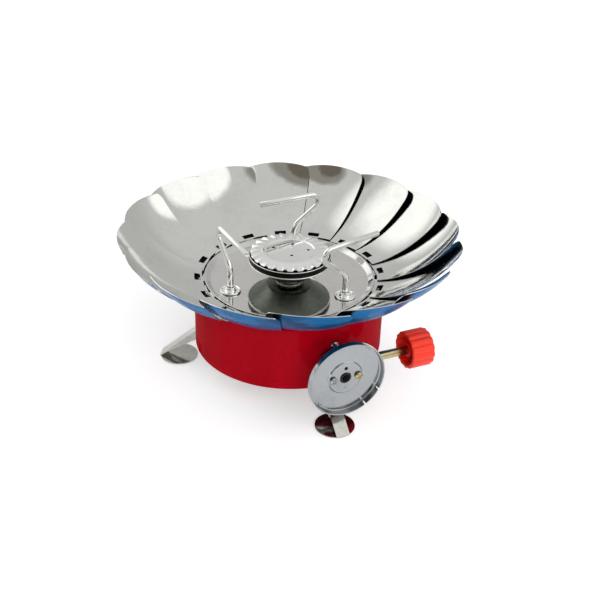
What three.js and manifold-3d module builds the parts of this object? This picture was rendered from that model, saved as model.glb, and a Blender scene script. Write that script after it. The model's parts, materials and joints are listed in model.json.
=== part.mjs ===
// Folding camping gas stove with a windshield of sixteen hinged petals.
// Millimetres, +Z up. The origin is on the ground under the middle of the drum.
// The gas inlet faces -Y and the control knob turns about an axis along X.
import * as THREE from 'three';
import Module from 'manifold-3d';
import { mergeVertices } from 'three/addons/utils/BufferGeometryUtils.js';

const wasm = await Module();
wasm.setup();

// Clearances and counts that all pieces share
const gap = 0.3;
const overrun = 2;
const mergeDistance = 1e-4;
const roundSides = 48;
const smallSides = 16;
const tinySides = 10;
const cornerSteps = 2;
const degree = Math.PI / 180;
const legCount = 3;
const supportCount = 3;

// Drum
const drumRadius = 69.5;
const drumWall = 0.8;
const drumBottom = 25;
const drumCorner = 2.4;
const notchSideGap = 2;
const notchTopGap = 4.4;

// Burner tray and the hooks that hold the petals
const trayFloorTop = 75.5;
const traySheet = 0.8;
const trayLipInset = 6.9;
const traySlope = 5.1;
const trayLipWidth = 1.8;
const trayLipRise = 2.7;
const hookWidth = 7.2;
const hookReach = 4.4;
const hookDrop = 2.1;

// Petals
const petalCount = 16;
const petalSheet = 0.5;
const petalTail = 0.7;
const tailGap = 0.7;
const petalReach = 57.8;
const petalBend = 84;
const petalBaseSlope = 8.8;
const petalHalfAngle = 12.9;
const petalPhase = 5.4;
const hingeRise = 2.5;
const slotWidth = 8.8;
const slotLength = 4.4;
const slotInset = 1;
const baseLift = 0.6;
const rimLift = 2.6;
const shoulderRelief = 1.6;
const rimScallop = 2;
const petalRows = 5;
const petalRowSpread = 80;
const cornerLengthShare = 0.2;
const cornerWidthShare = 0.22;
const petalColumnShares = [-1, -0.65, 0.65, 1];

// Pot supports
const supportInset = 10.5;
const supportPhase = -56.4;
const supportTurns = [71.1, 119.7, 90];
const wireRadius = 2.1;
const wireSides = 8;
const wireSteps = 44;
const supportFoot = 9;
const supportRiser = 18.6;
const supportHeight = 41.8;
const bendReach = 30.4;
const armReach = 27.9;
const elbowRadius = 7;
const bendRadius = 4.5;
const collarRadius = 7.5;
const collarFlange = 1;
const collarBoss = 3.6;
const collarBossRise = 2.4;
const clipRadius = 5.4;
const clipThickness = 1.6;
const clipClearance = 1;

// Legs
const legHingeInset = 11.7;
const legHingeRise = 5.5;
const legTipReach = 29.1;
const legSheet = 1;
const legWidth = 10;
const webOffset = 5.2;
const webStart = 0.8;
const footRadius = 14.2;
const pinRadius = 1.5;
const pinHeadRadius = 2.6;
const pinHeadThickness = 1;
const knuckleRadius = 4.2;
const bracketSheet = 1;
const bracketPlateHeight = 6;
const bracketPlateRise = 9;
const bracketPlateGap = 0.8;
const bracketKnuckle = 3.9;
const bracketSideGap = 0.6;

// Burner
const mixerBore = 5.5;
const mixerRadius = 7.6;
const mixerDrop = 16.5;
const mixerFlangeRadius = 10.6;
const mixerFlangeThickness = 4;
const mixerRise = 9.5;
const airHoleRadius = 2.2;
const airHoleRise = 4;
const nutWidth = 22;
const nutHeight = 5;
const cupRadius = 29.6;
const cupRimRise = 15.4;
const cupSheet = 1;
const cupFloorRise = 5.9;
const cupFloorRadius = 13;
const ringInset = 0.4;
const ringWidth = 5.2;
const ringHeight = 4;
const capOverhang = 0.3;
const capRise = 2.6;
const capFluteLength = 8.9;
const capPlateRadius = 17.3;
const capStep = 1;
const capPlateDrop = 0.5;
const capSheet = 0.8;
const fluteCount = 22;
const fluteSteps = 4;
const fluteRise = 1.8;
const capHoleRadius = 0.9;
const capHoleShares = [[0.1, 0.62], [-0.72, 0.24], [0.76, 0.12], [0.08, -0.42]];

// Gas train
const inletRise = 23.8;
const spindleReach = 12;
const valveRadius = 7;
const valveHeadRadius = 12.5;
const valveHeadThickness = 5;
const neckRadius = 5.6;
const neckInside = 6.7;
const spindleBossRadius = 5.4;
const spindleBossEnd = 21;
const passageRadius = 1.6;
const stemRadius = 3.1;
const needleRadius = 2;
const needleTip = 4.5;
const stemStart = 19;
const stemInKnob = 5.7;
const sealRadius = 0.8;
const sealStation = 13;
const glandWidth = 11;
const glandLength = 7;
const plateWidth = 26;
const plateHeight = 21;
const plateDrop = 8;
const plateSheet = 1.6;
const plateScrewRadius = 10.1;
const plateScrewTurns = [67, -23];
const screwRadius = 1.4;
const screwHeadRadius = 2.7;
const screwHeadHeight = 1.8;
const screwGrip = 3;
const pipeRadius = 2.6;
const pipeBore = 1.5;
const pipeElbow = 5;
const pipeSetback = 1.5;
const pipeSteps = 14;
const jetWidth = 8;
const jetHeight = 7;
const jetTipRadius = 2;
const jetTipHeight = 2.2;
const orificeRadius = 0.6;

// Canister flange
const flangeRadius = 27.7;
const flangeRim = 5.6;
const flangeSheet = 1;
const flangeReach = 25.1;
const flangeCorner = 2;
const embossRadius = 12.6;
const embossRise = 0.9;
const inletHoleRadius = 4.2;
const flangeScrewSide = 9.4;
const ventHoleRise = 7.4;
const ventHoleRadius = 1.3;
const tabTurn = -43;
const tabWidth = 14;
const tabSlit = 1.4;
const nippleRadius = 1.9;
const nippleReach = 1.4;
const nippleBase = 3.4;
const nippleBaseHeight = 1.2;
const sealRingRadius = 3.2;
const sealRingWire = 0.6;
const ringSides = 8;

// Control knob
const knobBack = 53.3;
const knobLength = 17.2;
const knobRadius = 13.4;
const scallopCount = 14;
const scallopDepth = 1;
const scallopSteps = 4;
const knobWall = 2.4;
const knobFace = 4;
const knobHubRadius = 5.4;
const knobHubSetback = 1.5;
const knobCorner = 1.2;
const knobScrewRecess = 1.6;
const knobScrewGrip = 5;

// Sizes that follow from the ones above
const lipTop = trayFloorTop + trayLipRise;
const trayUnderside = trayFloorTop - traySheet;
const trayLipRadius = drumRadius - trayLipInset;
const trayFloorRadius = trayLipRadius - traySlope;
const drumTop = trayUnderside - gap;
const drumInner = drumRadius - drumWall;
const supportPivotRadius = trayFloorRadius - supportInset;
const ledgeRadius = supportPivotRadius + clipRadius + clipClearance;
const hingeRadius = trayLipRadius + tailGap + petalTail;
const hingeHeight = trayFloorTop + hingeRise;
const legHingeRadius = drumInner - legHingeInset;
const legHingeHeight = drumBottom + legHingeRise;
const legTipRadius = drumRadius + legTipReach;
const legRun = Math.hypot(legTipRadius - legHingeRadius, legHingeHeight - legSheet);
const legFall = Math.atan2(legHingeHeight - legSheet, legTipRadius - legHingeRadius);
const legTilt = -legFall - Math.asin(webOffset / legRun);
const webRise = (webOffset + (drumInner - legHingeRadius) * Math.sin(legTilt)) / Math.cos(legTilt);
const notchTop = legHingeHeight + webRise + notchTopGap;
const bracketPlateBottom = drumBottom + bracketPlateRise;
const mixerBottom = trayFloorTop - mixerDrop;
const mixerTop = trayFloorTop + mixerRise;
const cupRimHeight = trayFloorTop + cupRimRise;
const cupFloorHeight = trayFloorTop + cupFloorRise;
const ringOuterRadius = cupRadius - ringInset;
const ringInnerRadius = ringOuterRadius - ringWidth;
const ringBottom = cupRimHeight + gap;
const ringTop = ringBottom + ringHeight;
const capRadius = cupRadius + capOverhang;
const capShoulderRadius = capRadius - capFluteLength;
const capTop = ringTop + capRise;
const pipeTop = mixerBottom - pipeSetback;
const inletHeight = drumBottom + inletRise;
const spindleStation = drumRadius + spindleReach;
const wallFace = drumRadius + gap;
const neckEnd = drumInner - neckInside;
const plateFace = Math.sqrt(drumInner * drumInner - (plateWidth * plateWidth) / 4) - gap;
const plateBack = plateFace - plateSheet;
const flangeBack = drumRadius + flangeReach;
const flangeScrewFace = flangeBack + flangeSheet + embossRise + gap;
const valveFace = flangeBack - gap;
const glandStart = spindleBossEnd + gap;
const stemEnd = knobBack + stemInKnob;
const screwHole = screwRadius + gap;
const plateScrewPlaces = plateScrewTurns.map((turn) => (
  [plateScrewRadius * Math.cos(turn * degree), plateScrewRadius * Math.sin(turn * degree)]
));

const steel = { metalness: 1, roughness: 0.18 };
const finishes = {
  drum: { color: 0xa8061c, metalness: 0.1, roughness: 0.25 },
  petal: { color: 0xb9bab6, ...steel },
  tray: { color: 0xb4b4b0, metalness: 1, roughness: 0.1 },
  wire: { color: 0xb8bcb8, ...steel },
  leg: { color: 0xc2c4c2, ...steel },
  bracket: { color: 0x8c8f90, metalness: 1, roughness: 0.4 },
  cap: { color: 0xc6c8c6, ...steel },
  cup: { color: 0x4c524a, metalness: 0.8, roughness: 0.45 },
  dark: { color: 0x1a1c1a, metalness: 0.6, roughness: 0.5 },
  brass: { color: 0xb08a48, metalness: 1, roughness: 0.3 },
  zinc: { color: 0xa8adb0, metalness: 1, roughness: 0.35 },
  knob: { color: 0xf03820, metalness: 0, roughness: 0.45 },
  rubber: { color: 0x141414, metalness: 0, roughness: 0.8 },
};

// Geometry helpers

function solid(geometry) {
  const bare = new THREE.BufferGeometry();
  bare.setAttribute('position', geometry.getAttribute('position'));
  bare.setIndex(geometry.index);
  const merged = mergeVertices(bare, mergeDistance);
  const index = merged.index.array;
  const triangles = [];
  for (let i = 0; i < index.length; i += 3) {
    const [a, b, c] = [index[i], index[i + 1], index[i + 2]];
    if (a !== b && b !== c && c !== a) triangles.push(a, b, c);
  }
  return new wasm.Manifold(new wasm.Mesh({
    numProp: 3,
    vertProperties: new Float32Array(merged.getAttribute('position').array),
    triVerts: new Uint32Array(triangles),
  }));
}

function piece(name, body, finish) {
  const mesh = body.getMesh();
  const geometry = new THREE.BufferGeometry();
  geometry.setAttribute('position', new THREE.Float32BufferAttribute(mesh.vertProperties, 3));
  geometry.setIndex(new THREE.Uint32BufferAttribute(mesh.triVerts, 1));
  geometry.computeVertexNormals();
  const material = new THREE.MeshStandardMaterial({ ...finishes[finish], flatShading: true });
  const made = new THREE.Mesh(geometry, material);
  made.name = name;
  return made;
}

// A profile of [radius, height] points, listed up the outside, turned about Z
function turned(profile, sides) {
  const points = profile.map(([r, h]) => new THREE.Vector2(r, h));
  const geometry = new THREE.LatheGeometry([...points, points[0]], sides);
  return geometry.rotateX(90 * degree);
}

const alongX = (geometry) => geometry.rotateY(90 * degree);
const alongY = (geometry) => geometry.rotateX(-90 * degree);

function rod(radius, from, to, sides) {
  return turned([[0, from], [radius, from], [radius, to], [0, to]], sides);
}

function tube(inner, outer, from, to, sides) {
  return turned([[outer, from], [outer, to], [inner, to], [inner, from]], sides);
}

// A polygon in the radius and height plane, given thickness across it
function plate(outline, thickness) {
  const shape = new THREE.Shape(outline.map(([r, h]) => new THREE.Vector2(r, h)));
  const geometry = new THREE.ExtrudeGeometry(shape, { depth: thickness, bevelEnabled: false });
  return geometry.translate(0, 0, -thickness / 2).rotateX(90 * degree);
}

function block(x, y, z) {
  return new THREE.BoxGeometry(x, y, z);
}

function arc(centre, radius, from, to, steps) {
  const points = [];
  for (let i = 0; i <= steps; i += 1) {
    const angle = (from + ((to - from) * i) / steps) * degree;
    points.push([centre[0] + radius * Math.cos(angle), centre[1] + radius * Math.sin(angle)]);
  }
  return points;
}

function circle(centre, radius, sides) {
  return arc(centre, radius, 0, 360 - 360 / sides, sides - 1);
}

function hexagon(width, from, to) {
  return rod(width / 2 / Math.cos(30 * degree), from, to, 6);
}

// Group that carries pieces drawn along +X to the angle where they belong
function turnedGroup(angle, pieces) {
  const group = new THREE.Group();
  group.rotation.z = angle * degree;
  group.add(...pieces);
  return group;
}

// Petals: a sheet bent to one radius, tilted like a fan blade so that each lies over the next

function petalPoint(column, length, offset) {
  const full = petalReach;
  const start = petalBaseSlope * degree;
  const end = Math.asin(full / petalBend + Math.sin(start));
  const curve = petalBend * (end - start);
  const along = Math.max(0, length / curve);
  const past = Math.max(0, (along - 1 + cornerLengthShare) / cornerLengthShare);
  const narrow = 1 - cornerWidthShare * (1 - Math.sqrt(Math.max(0, 1 - past * past)));
  const relief = length < 0 ? shoulderRelief * Math.max(0, column) : 0;
  const shortened = length + relief - rimScallop * column * column * along;
  const slope = start + Math.max(0, shortened) / petalBend;
  const before = Math.min(0, shortened);
  const lift = (baseLift + (rimLift - baseLift) * along) * column + offset;
  const radius = hingeRadius + before * Math.cos(start)
    + petalBend * (Math.sin(slope) - Math.sin(start)) - lift * Math.sin(slope);
  const height = hingeHeight + before * Math.sin(start)
    + petalBend * (Math.cos(start) - Math.cos(slope)) + lift * Math.cos(slope);
  const turn = -column * narrow * petalHalfAngle * degree;
  return new THREE.Vector3(radius * Math.cos(turn), radius * Math.sin(turn), height);
}

function petalSolid() {
  const start = petalBaseSlope * degree;
  const curve = petalBend * (Math.asin(petalReach / petalBend + Math.sin(start)) - start);
  const slotEnd = slotInset + slotLength;
  const rows = [-petalTail, slotInset, slotEnd];
  for (let i = 1; i <= petalRows; i += 1) {
    const share = Math.sin((i / petalRows) * petalRowSpread * degree) / Math.sin(petalRowSpread * degree);
    rows.push(slotEnd + (curve - slotEnd) * share);
  }
  const slotTurn = Math.atan(slotWidth / 2 / (hingeRadius + slotEnd / 2)) / degree;
  const slotShare = slotTurn / petalHalfAngle;
  const shares = [...petalColumnShares, -slotShare, slotShare].sort((a, b) => a - b);
  const slotColumn = shares.indexOf(-slotShare);
  const top = rows.map((row) => shares.map((share) => petalPoint(share, row, petalSheet / 2)));
  const bottom = rows.map((row) => shares.map((share) => petalPoint(share, row, -petalSheet / 2)));
  const corners = [];
  const quad = (a, b, c, d) => corners.push(a, b, c, a, c, d);
  const isSlot = (row, column) => row === 1 && column === slotColumn;
  const isSheet = (row, column) => row >= 0 && row < rows.length - 1
    && column >= 0 && column < shares.length - 1 && !isSlot(row, column);
  const edge = (r0, c0, r1, c1) => quad(top[r0][c0], bottom[r0][c0], bottom[r1][c1], top[r1][c1]);
  for (let r = 0; r < rows.length - 1; r += 1) {
    for (let c = 0; c < shares.length - 1; c += 1) {
      if (isSlot(r, c)) continue;
      quad(top[r][c], top[r][c + 1], top[r + 1][c + 1], top[r + 1][c]);
      quad(bottom[r][c], bottom[r + 1][c], bottom[r + 1][c + 1], bottom[r][c + 1]);
      if (!isSheet(r - 1, c)) edge(r, c, r, c + 1);
      if (!isSheet(r + 1, c)) edge(r + 1, c + 1, r + 1, c);
      if (!isSheet(r, c - 1)) edge(r + 1, c, r, c);
      if (!isSheet(r, c + 1)) edge(r, c + 1, r + 1, c + 1);
    }
  }
  const geometry = new THREE.BufferGeometry().setFromPoints(corners);
  return solid(geometry);
}

function petals() {
  const body = petalSolid();
  const groups = [];
  for (let i = 0; i < petalCount; i += 1) {
    const name = `petal_${String(i + 1).padStart(2, '0')}`;
    const angle = -90 + petalPhase + (i * 360) / petalCount;
    groups.push(turnedGroup(angle, [piece(name, body, 'petal')]));
  }
  return groups;
}

// Drum: a shell open below, with an inward ledge on top that carries the tray

function drumShell() {
  const corner = [drumRadius - drumCorner, drumTop - drumCorner];
  const profile = [
    [drumRadius, drumBottom],
    ...arc(corner, drumCorner, 0, 90, cornerSteps),
    [ledgeRadius, drumTop],
    [ledgeRadius, drumTop - drumWall],
    ...arc(corner, drumCorner - drumWall, 90, 0, cornerSteps),
    [drumInner, drumBottom],
  ];
  let shell = solid(turned(profile, roundSides));
  for (let i = 0; i < legCount; i += 1) {
    const notch = block(drumCorner + 2 * overrun, legWidth + 2 * notchSideGap, notchTop);
    notch.translate(drumRadius, 0, notchTop / 2).rotateZ((-90 + (i * 360) / legCount) * degree);
    shell = shell.subtract(solid(notch));
  }
  const [from, to] = [drumInner - drumCorner, drumRadius + overrun];
  shell = shell.subtract(solid(inletRod(neckRadius + gap, from, to, 0, 0).rotateZ(-90 * degree)));
  for (const [across, rise] of plateScrewPlaces) {
    shell = shell.subtract(solid(inletRod(screwHole, from, to, across, rise).rotateZ(-90 * degree)));
  }
  return piece('drum_shell', shell, 'drum');
}

// Tray: a shallow pan whose lip carries one hook for each petal

function burnerTray() {
  const bore = mixerRadius + gap;
  const profile = [
    [trayFloorRadius, trayUnderside],
    [trayLipRadius - trayLipWidth, lipTop - traySheet],
    [trayLipRadius, lipTop - traySheet],
    [trayLipRadius, lipTop],
    [trayLipRadius - trayLipWidth, lipTop],
    [trayFloorRadius, trayFloorTop],
    [bore, trayFloorTop],
    [bore, trayUnderside],
  ];
  let tray = solid(turned(profile, roundSides));
  const root = trayLipRadius - traySheet;
  const low = lipTop - hookDrop;
  const end = trayLipRadius + hookReach;
  const outline = [
    [root, lipTop - traySheet / 2],
    [root, low],
    [end, low],
    [end, lipTop],
    [end - traySheet, lipTop],
    [end - traySheet, low + traySheet],
    [trayLipRadius, low + traySheet],
    [trayLipRadius, lipTop - traySheet / 2],
  ];
  for (let i = 0; i < petalCount; i += 1) {
    const angle = -90 + petalPhase + (i * 360) / petalCount;
    tray = tray.add(solid(plate(outline, hookWidth).rotateZ(angle * degree)));
  }
  for (let i = 0; i < supportCount; i += 1) {
    const hole = rod(wireRadius + gap, trayUnderside - overrun, lipTop, tinySides);
    hole.translate(supportPivotRadius, 0, 0).rotateZ((supportPhase + (i * 360) / supportCount) * degree);
    tray = tray.subtract(solid(hole));
  }
  return piece('burner_tray', tray, 'tray');
}

// Pot supports: bent wire that swivels in a collar on the tray and is kept by a clip below it

function supportPath() {
  const armHeight = trayFloorTop + supportHeight;
  const corners = [
    [0, trayFloorTop - supportFoot],
    [0, trayFloorTop + supportRiser],
    [-bendReach, armHeight],
    [armReach, armHeight],
  ];
  return roundedPath(corners, [elbowRadius, bendRadius]);
}

// A line in the X and Z plane whose inner corners are rounded to the radii
function roundedPath(places, radii) {
  const corners = places.map(([x, z]) => new THREE.Vector3(x, 0, z));
  const toward = (from, to, length) => from.clone().add(to.clone().sub(from).setLength(length));
  const path = new THREE.CurvePath();
  let start = corners[0];
  radii.forEach((radius, i) => {
    const [before, corner, after] = corners.slice(i, i + 3);
    const turn = Math.PI - before.clone().sub(corner).angleTo(after.clone().sub(corner));
    const setback = radius * Math.tan(turn / 2);
    const handle = (4 / 3) * radius * Math.tan(turn / 4);
    const from = toward(corner, before, setback);
    const to = toward(corner, after, setback);
    path.add(new THREE.LineCurve3(start, from));
    path.add(new THREE.CubicBezierCurve3(from, toward(from, corner, handle), toward(to, corner, handle), to));
    start = to;
  });
  path.add(new THREE.LineCurve3(start, corners[corners.length - 1]));
  return path;
}

function wire(path, radius, sides, steps) {
  const section = new THREE.Shape();
  for (let i = 0; i < sides; i += 1) {
    const angle = ((i + 0.5) / sides) * 360 * degree;
    const point = [radius * Math.cos(angle), radius * Math.sin(angle)];
    if (i === 0) section.moveTo(...point);
    else section.lineTo(...point);
  }
  return new THREE.ExtrudeGeometry(section, { extrudePath: path, steps, bevelEnabled: false });
}

function potSupports() {
  const body = solid(wire(supportPath(), wireRadius, wireSides, wireSteps));
  const bore = wireRadius + gap;
  const flangeBottom = trayFloorTop + gap;
  const flangeTop = flangeBottom + collarFlange;
  const collar = solid(turned([
    [collarRadius, flangeBottom],
    [collarRadius, flangeTop],
    [collarBoss, flangeTop],
    [collarBoss, flangeTop + collarBossRise],
    [bore, flangeTop + collarBossRise],
    [bore, flangeBottom],
  ], smallSides));
  const clipTop = trayUnderside - gap;
  const clip = solid(tube(bore, clipRadius, clipTop - clipThickness, clipTop, smallSides));
  const groups = [];
  for (let i = 0; i < supportCount; i += 1) {
    const pieces = [
      piece(`pot_support_${i + 1}`, body, 'wire'),
      piece(`support_collar_${i + 1}`, collar, 'leg'),
      piece(`support_clip_${i + 1}`, clip, 'bracket'),
    ];
    const pivot = turnedGroup(supportTurns[i], pieces);
    pivot.position.x = supportPivotRadius;
    groups.push(turnedGroup(supportPhase + (i * 360) / supportCount, [pivot]));
  }
  return groups;
}

// Legs: a folded channel with a round foot, hinged on a pin in a bracket inside the drum

function pinHole() {
  const hole = alongY(rod(pinRadius + gap, -legWidth, legWidth, tinySides));
  return hole.translate(legHingeRadius, 0, legHingeHeight);
}

function legBody() {
  const webLength = Math.sqrt(legRun * legRun - webOffset * webOffset);
  const channel = (outline, thickness, across) => {
    const geometry = plate(outline, thickness).translate(0, across, 0);
    return solid(geometry.rotateY(-legTilt).translate(legHingeRadius, 0, legHingeHeight));
  };
  const web = [
    [-webStart, webOffset - legSheet],
    [webLength, webOffset - legSheet],
    [webLength, webOffset],
    [-webStart, webOffset],
  ];
  const side = [
    ...arc([0, 0], knuckleRadius, 180, 270, cornerSteps * 2),
    [webLength - footRadius / 2, webOffset - legSheet],
    [webLength - footRadius / 2, webOffset],
    [-knuckleRadius, webOffset],
  ];
  const across = (legWidth - legSheet) / 2;
  let leg = channel(web, legWidth, 0);
  leg = leg.add(channel(side, legSheet, across)).add(channel(side, legSheet, -across));
  const foot = rod(footRadius, 0, legSheet, roundSides / 2);
  leg = leg.add(solid(foot.translate(legTipRadius - footRadius, 0, 0)));
  leg = leg.subtract(solid(pinHole()));
  const ground = block(2 * legTipRadius, 2 * legTipRadius, legTipRadius);
  return leg.subtract(solid(ground.translate(legTipRadius, 0, -legTipRadius / 2)));
}

function bracketBody() {
  const face = drumInner - bracketPlateGap;
  const back = face - bracketSheet;
  const top = bracketPlateBottom + bracketPlateHeight;
  const inside = legWidth / 2 + bracketSideGap;
  const ear = [
    [face, top],
    [back - bracketSheet, top],
    ...arc([legHingeRadius, legHingeHeight], bracketKnuckle, 150, 300, 5),
    [face, bracketPlateBottom],
  ].reverse();
  const slab = block(bracketSheet, 2 * (inside + bracketSheet), bracketPlateHeight);
  let bracket = solid(slab.translate(face - bracketSheet / 2, 0, (top + bracketPlateBottom) / 2));
  for (const side of [1, -1]) {
    const across = side * (inside + bracketSheet / 2);
    bracket = bracket.add(solid(plate(ear, bracketSheet).translate(0, across, 0)));
  }
  return bracket.subtract(solid(pinHole()));
}

function pinBody() {
  const head = legWidth / 2 + bracketSideGap + bracketSheet + gap;
  const end = head + pinHeadThickness;
  const profile = [
    [0, -end],
    [pinHeadRadius, -end],
    [pinHeadRadius, -head],
    [pinRadius, -head],
    [pinRadius, head],
    [pinHeadRadius, head],
    [pinHeadRadius, end],
    [0, end],
  ];
  return solid(alongY(turned(profile, tinySides)).translate(legHingeRadius, 0, legHingeHeight));
}

function legs() {
  const [leg, bracket, pin] = [legBody(), bracketBody(), pinBody()];
  const groups = [];
  for (let i = 0; i < legCount; i += 1) {
    const pieces = [
      piece(`leg_${i + 1}`, leg, 'leg'),
      piece(`leg_bracket_${i + 1}`, bracket, 'bracket'),
      piece(`leg_pin_${i + 1}`, pin, 'zinc'),
    ];
    groups.push(turnedGroup(-90 + (i * 360) / legCount, pieces));
  }
  return groups;
}

// Burner: mixer tube through the tray, cup, dark ring and fluted cap

function mixerTube() {
  const flangeTop = trayFloorTop + gap + mixerFlangeThickness;
  let body = solid(turned([
    [mixerRadius, mixerBottom],
    [mixerRadius, trayFloorTop + gap],
    [mixerFlangeRadius, trayFloorTop + gap],
    [mixerFlangeRadius, flangeTop],
    [mixerRadius, flangeTop],
    [mixerRadius, mixerTop],
    [mixerBore, mixerTop],
    [mixerBore, mixerBottom],
  ], smallSides));
  for (const turn of [0, 90]) {
    const hole = rod(airHoleRadius, -mixerFlangeRadius, mixerFlangeRadius, tinySides);
    const placed = alongX(hole).rotateZ(turn * degree).translate(0, 0, mixerBottom + airHoleRise);
    body = body.subtract(solid(placed));
  }
  return piece('mixer_tube', body, 'wire');
}

function burnerNut() {
  const top = trayUnderside - gap;
  const nut = solid(hexagon(nutWidth, top - nutHeight, top));
  const hole = rod(mixerRadius + gap, top - nutHeight - overrun, top + overrun, smallSides);
  return piece('burner_nut', nut.subtract(solid(hole)), 'zinc');
}

function burnerCup() {
  const bore = mixerRadius + gap;
  const profile = [
    [bore, cupFloorHeight - cupSheet],
    [cupFloorRadius, cupFloorHeight - cupSheet],
    [cupRadius, cupRimHeight - cupSheet],
    [cupRadius, cupRimHeight],
    [ringInnerRadius, cupRimHeight],
    [cupFloorRadius, cupFloorHeight + cupSheet / 2],
    [bore, cupFloorHeight + cupSheet / 2],
  ];
  return piece('burner_cup', solid(turned(profile, roundSides)), 'cup');
}

function burnerRing() {
  const ring = tube(ringInnerRadius, ringOuterRadius, ringBottom, ringTop, roundSides);
  return piece('burner_ring', solid(ring), 'dark');
}

// The rim of the cap is pressed into flutes, and each raised flute leaves a flame port over the ring
function burnerCap() {
  const edge = ringTop + gap;
  const plateTop = capTop - capPlateDrop;
  const profile = [
    [0, plateTop - capSheet],
    [capPlateRadius, plateTop - capSheet],
    [capPlateRadius + capStep, capTop - capSheet],
    [capShoulderRadius, capTop - capSheet],
    [capRadius, edge],
    [capRadius, edge + capSheet],
    [capShoulderRadius, capTop],
    [capPlateRadius + capStep, capTop],
    [capPlateRadius, plateTop],
    [0, plateTop],
  ];
  const geometry = turned(profile, fluteCount * fluteSteps);
  const places = geometry.getAttribute('position');
  for (let i = 0; i < places.count; i += 1) {
    const [x, y] = [places.getX(i), places.getY(i)];
    const share = Math.max(0, (Math.hypot(x, y) - capShoulderRadius) / capFluteLength);
    const wave = (1 + Math.cos(fluteCount * Math.atan2(y, x))) / 2;
    places.setZ(i, places.getZ(i) + fluteRise * share * wave);
  }
  let cap = solid(geometry);
  for (const [right, away] of capHoleShares) {
    const hole = rod(capHoleRadius, plateTop - capSheet - overrun, plateTop + overrun, tinySides);
    cap = cap.subtract(solid(hole.translate(right * capPlateRadius, away * capPlateRadius, 0)));
  }
  return piece('burner_cap', cap, 'cap');
}

// Gas train, drawn with +X outwards along the inlet and +Y towards the knob

function inletRod(radius, from, to, across, rise) {
  return alongX(rod(radius, from, to, smallSides)).translate(0, across, inletHeight + rise);
}

function spindleRod(radius, from, to) {
  return alongY(rod(radius, from, to, smallSides)).translate(spindleStation, 0, inletHeight);
}

function screw(name, finish, length, station, across, rise) {
  const profile = [
    [0, -length],
    [screwRadius, -length],
    [screwRadius, 0],
    [screwHeadRadius, 0],
    [screwHeadRadius, screwHeadHeight / 2],
    [screwHeadRadius / 2, screwHeadHeight],
    [0, screwHeadHeight],
  ];
  const body = solid(alongX(turned(profile, tinySides)).translate(station, across, inletHeight + rise));
  return piece(name, body, finish);
}

function valvePlate() {
  const middle = plateFace - plateSheet / 2;
  let body = solid(block(plateSheet, plateWidth, plateHeight)
    .translate(middle, 0, inletHeight - plateDrop + plateHeight / 2));
  const [from, to] = [plateBack - overrun, plateFace + overrun];
  body = body.subtract(solid(inletRod(neckRadius + gap, from, to, 0, 0)));
  for (const [across, rise] of plateScrewPlaces) {
    body = body.subtract(solid(inletRod(screwHole, from, to, across, rise)));
  }
  return piece('valve_plate', body, 'bracket');
}

function plateScrews() {
  const length = wallFace - plateBack + screwRadius;
  return plateScrewPlaces.map(([across, rise], i) => (
    screw(`plate_screw_${i + 1}`, 'zinc', length, wallFace, across, rise)
  ));
}

function valveBody() {
  let body = solid(alongX(turned([
    [0, neckEnd],
    [neckRadius, neckEnd],
    [neckRadius, wallFace],
    [valveRadius, wallFace],
    [valveRadius, valveFace - valveHeadThickness],
    [valveHeadRadius, valveFace - valveHeadThickness],
    [valveHeadRadius, valveFace],
    [0, valveFace],
  ], smallSides)).translate(0, 0, inletHeight));
  body = body.add(solid(spindleRod(spindleBossRadius, 0, spindleBossEnd)));
  const bore = needleRadius + gap;
  const sealBore = bore + 2 * sealRadius + gap;
  const open = spindleBossEnd + overrun;
  body = body.subtract(solid(spindleRod(bore, needleTip - gap, open)));
  body = body.subtract(solid(spindleRod(sealBore, sealStation - sealRadius - gap, open)));
  body = body.subtract(solid(inletRod(passageRadius, neckEnd - overrun, valveFace + overrun, 0, 0)));
  for (const side of [1, -1]) {
    const from = valveFace - screwGrip - gap;
    body = body.subtract(solid(inletRod(screwHole, from, flangeBack, side * flangeScrewSide, 0)));
  }
  return piece('valve_body', body, 'zinc');
}

function glandNut() {
  const end = glandStart + glandLength;
  const nut = solid(alongY(hexagon(glandWidth, glandStart, end)).translate(spindleStation, 0, inletHeight));
  const hole = solid(spindleRod(stemRadius + gap, glandStart - overrun, end + overrun));
  return piece('gland_nut', nut.subtract(hole), 'brass');
}

function spindleSeal() {
  const centre = [needleRadius + gap + sealRadius, sealStation];
  const seal = alongY(turned(circle(centre, sealRadius, ringSides), smallSides));
  return piece('spindle_o_ring', solid(seal.translate(spindleStation, 0, inletHeight)), 'rubber');
}

function valveSpindle() {
  const profile = [
    [0, needleTip],
    [needleRadius / 2, needleTip],
    [needleRadius, needleTip + needleRadius],
    [needleRadius, stemStart],
    [stemRadius, stemStart + needleRadius],
    [stemRadius, stemEnd],
    [0, stemEnd],
  ];
  let body = solid(alongY(turned(profile, smallSides)).translate(spindleStation, 0, inletHeight));
  body = body.subtract(solid(spindleRod(screwHole, stemEnd - knobScrewGrip - gap, stemEnd + overrun)));
  return piece('valve_spindle', body, 'brass');
}

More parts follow.
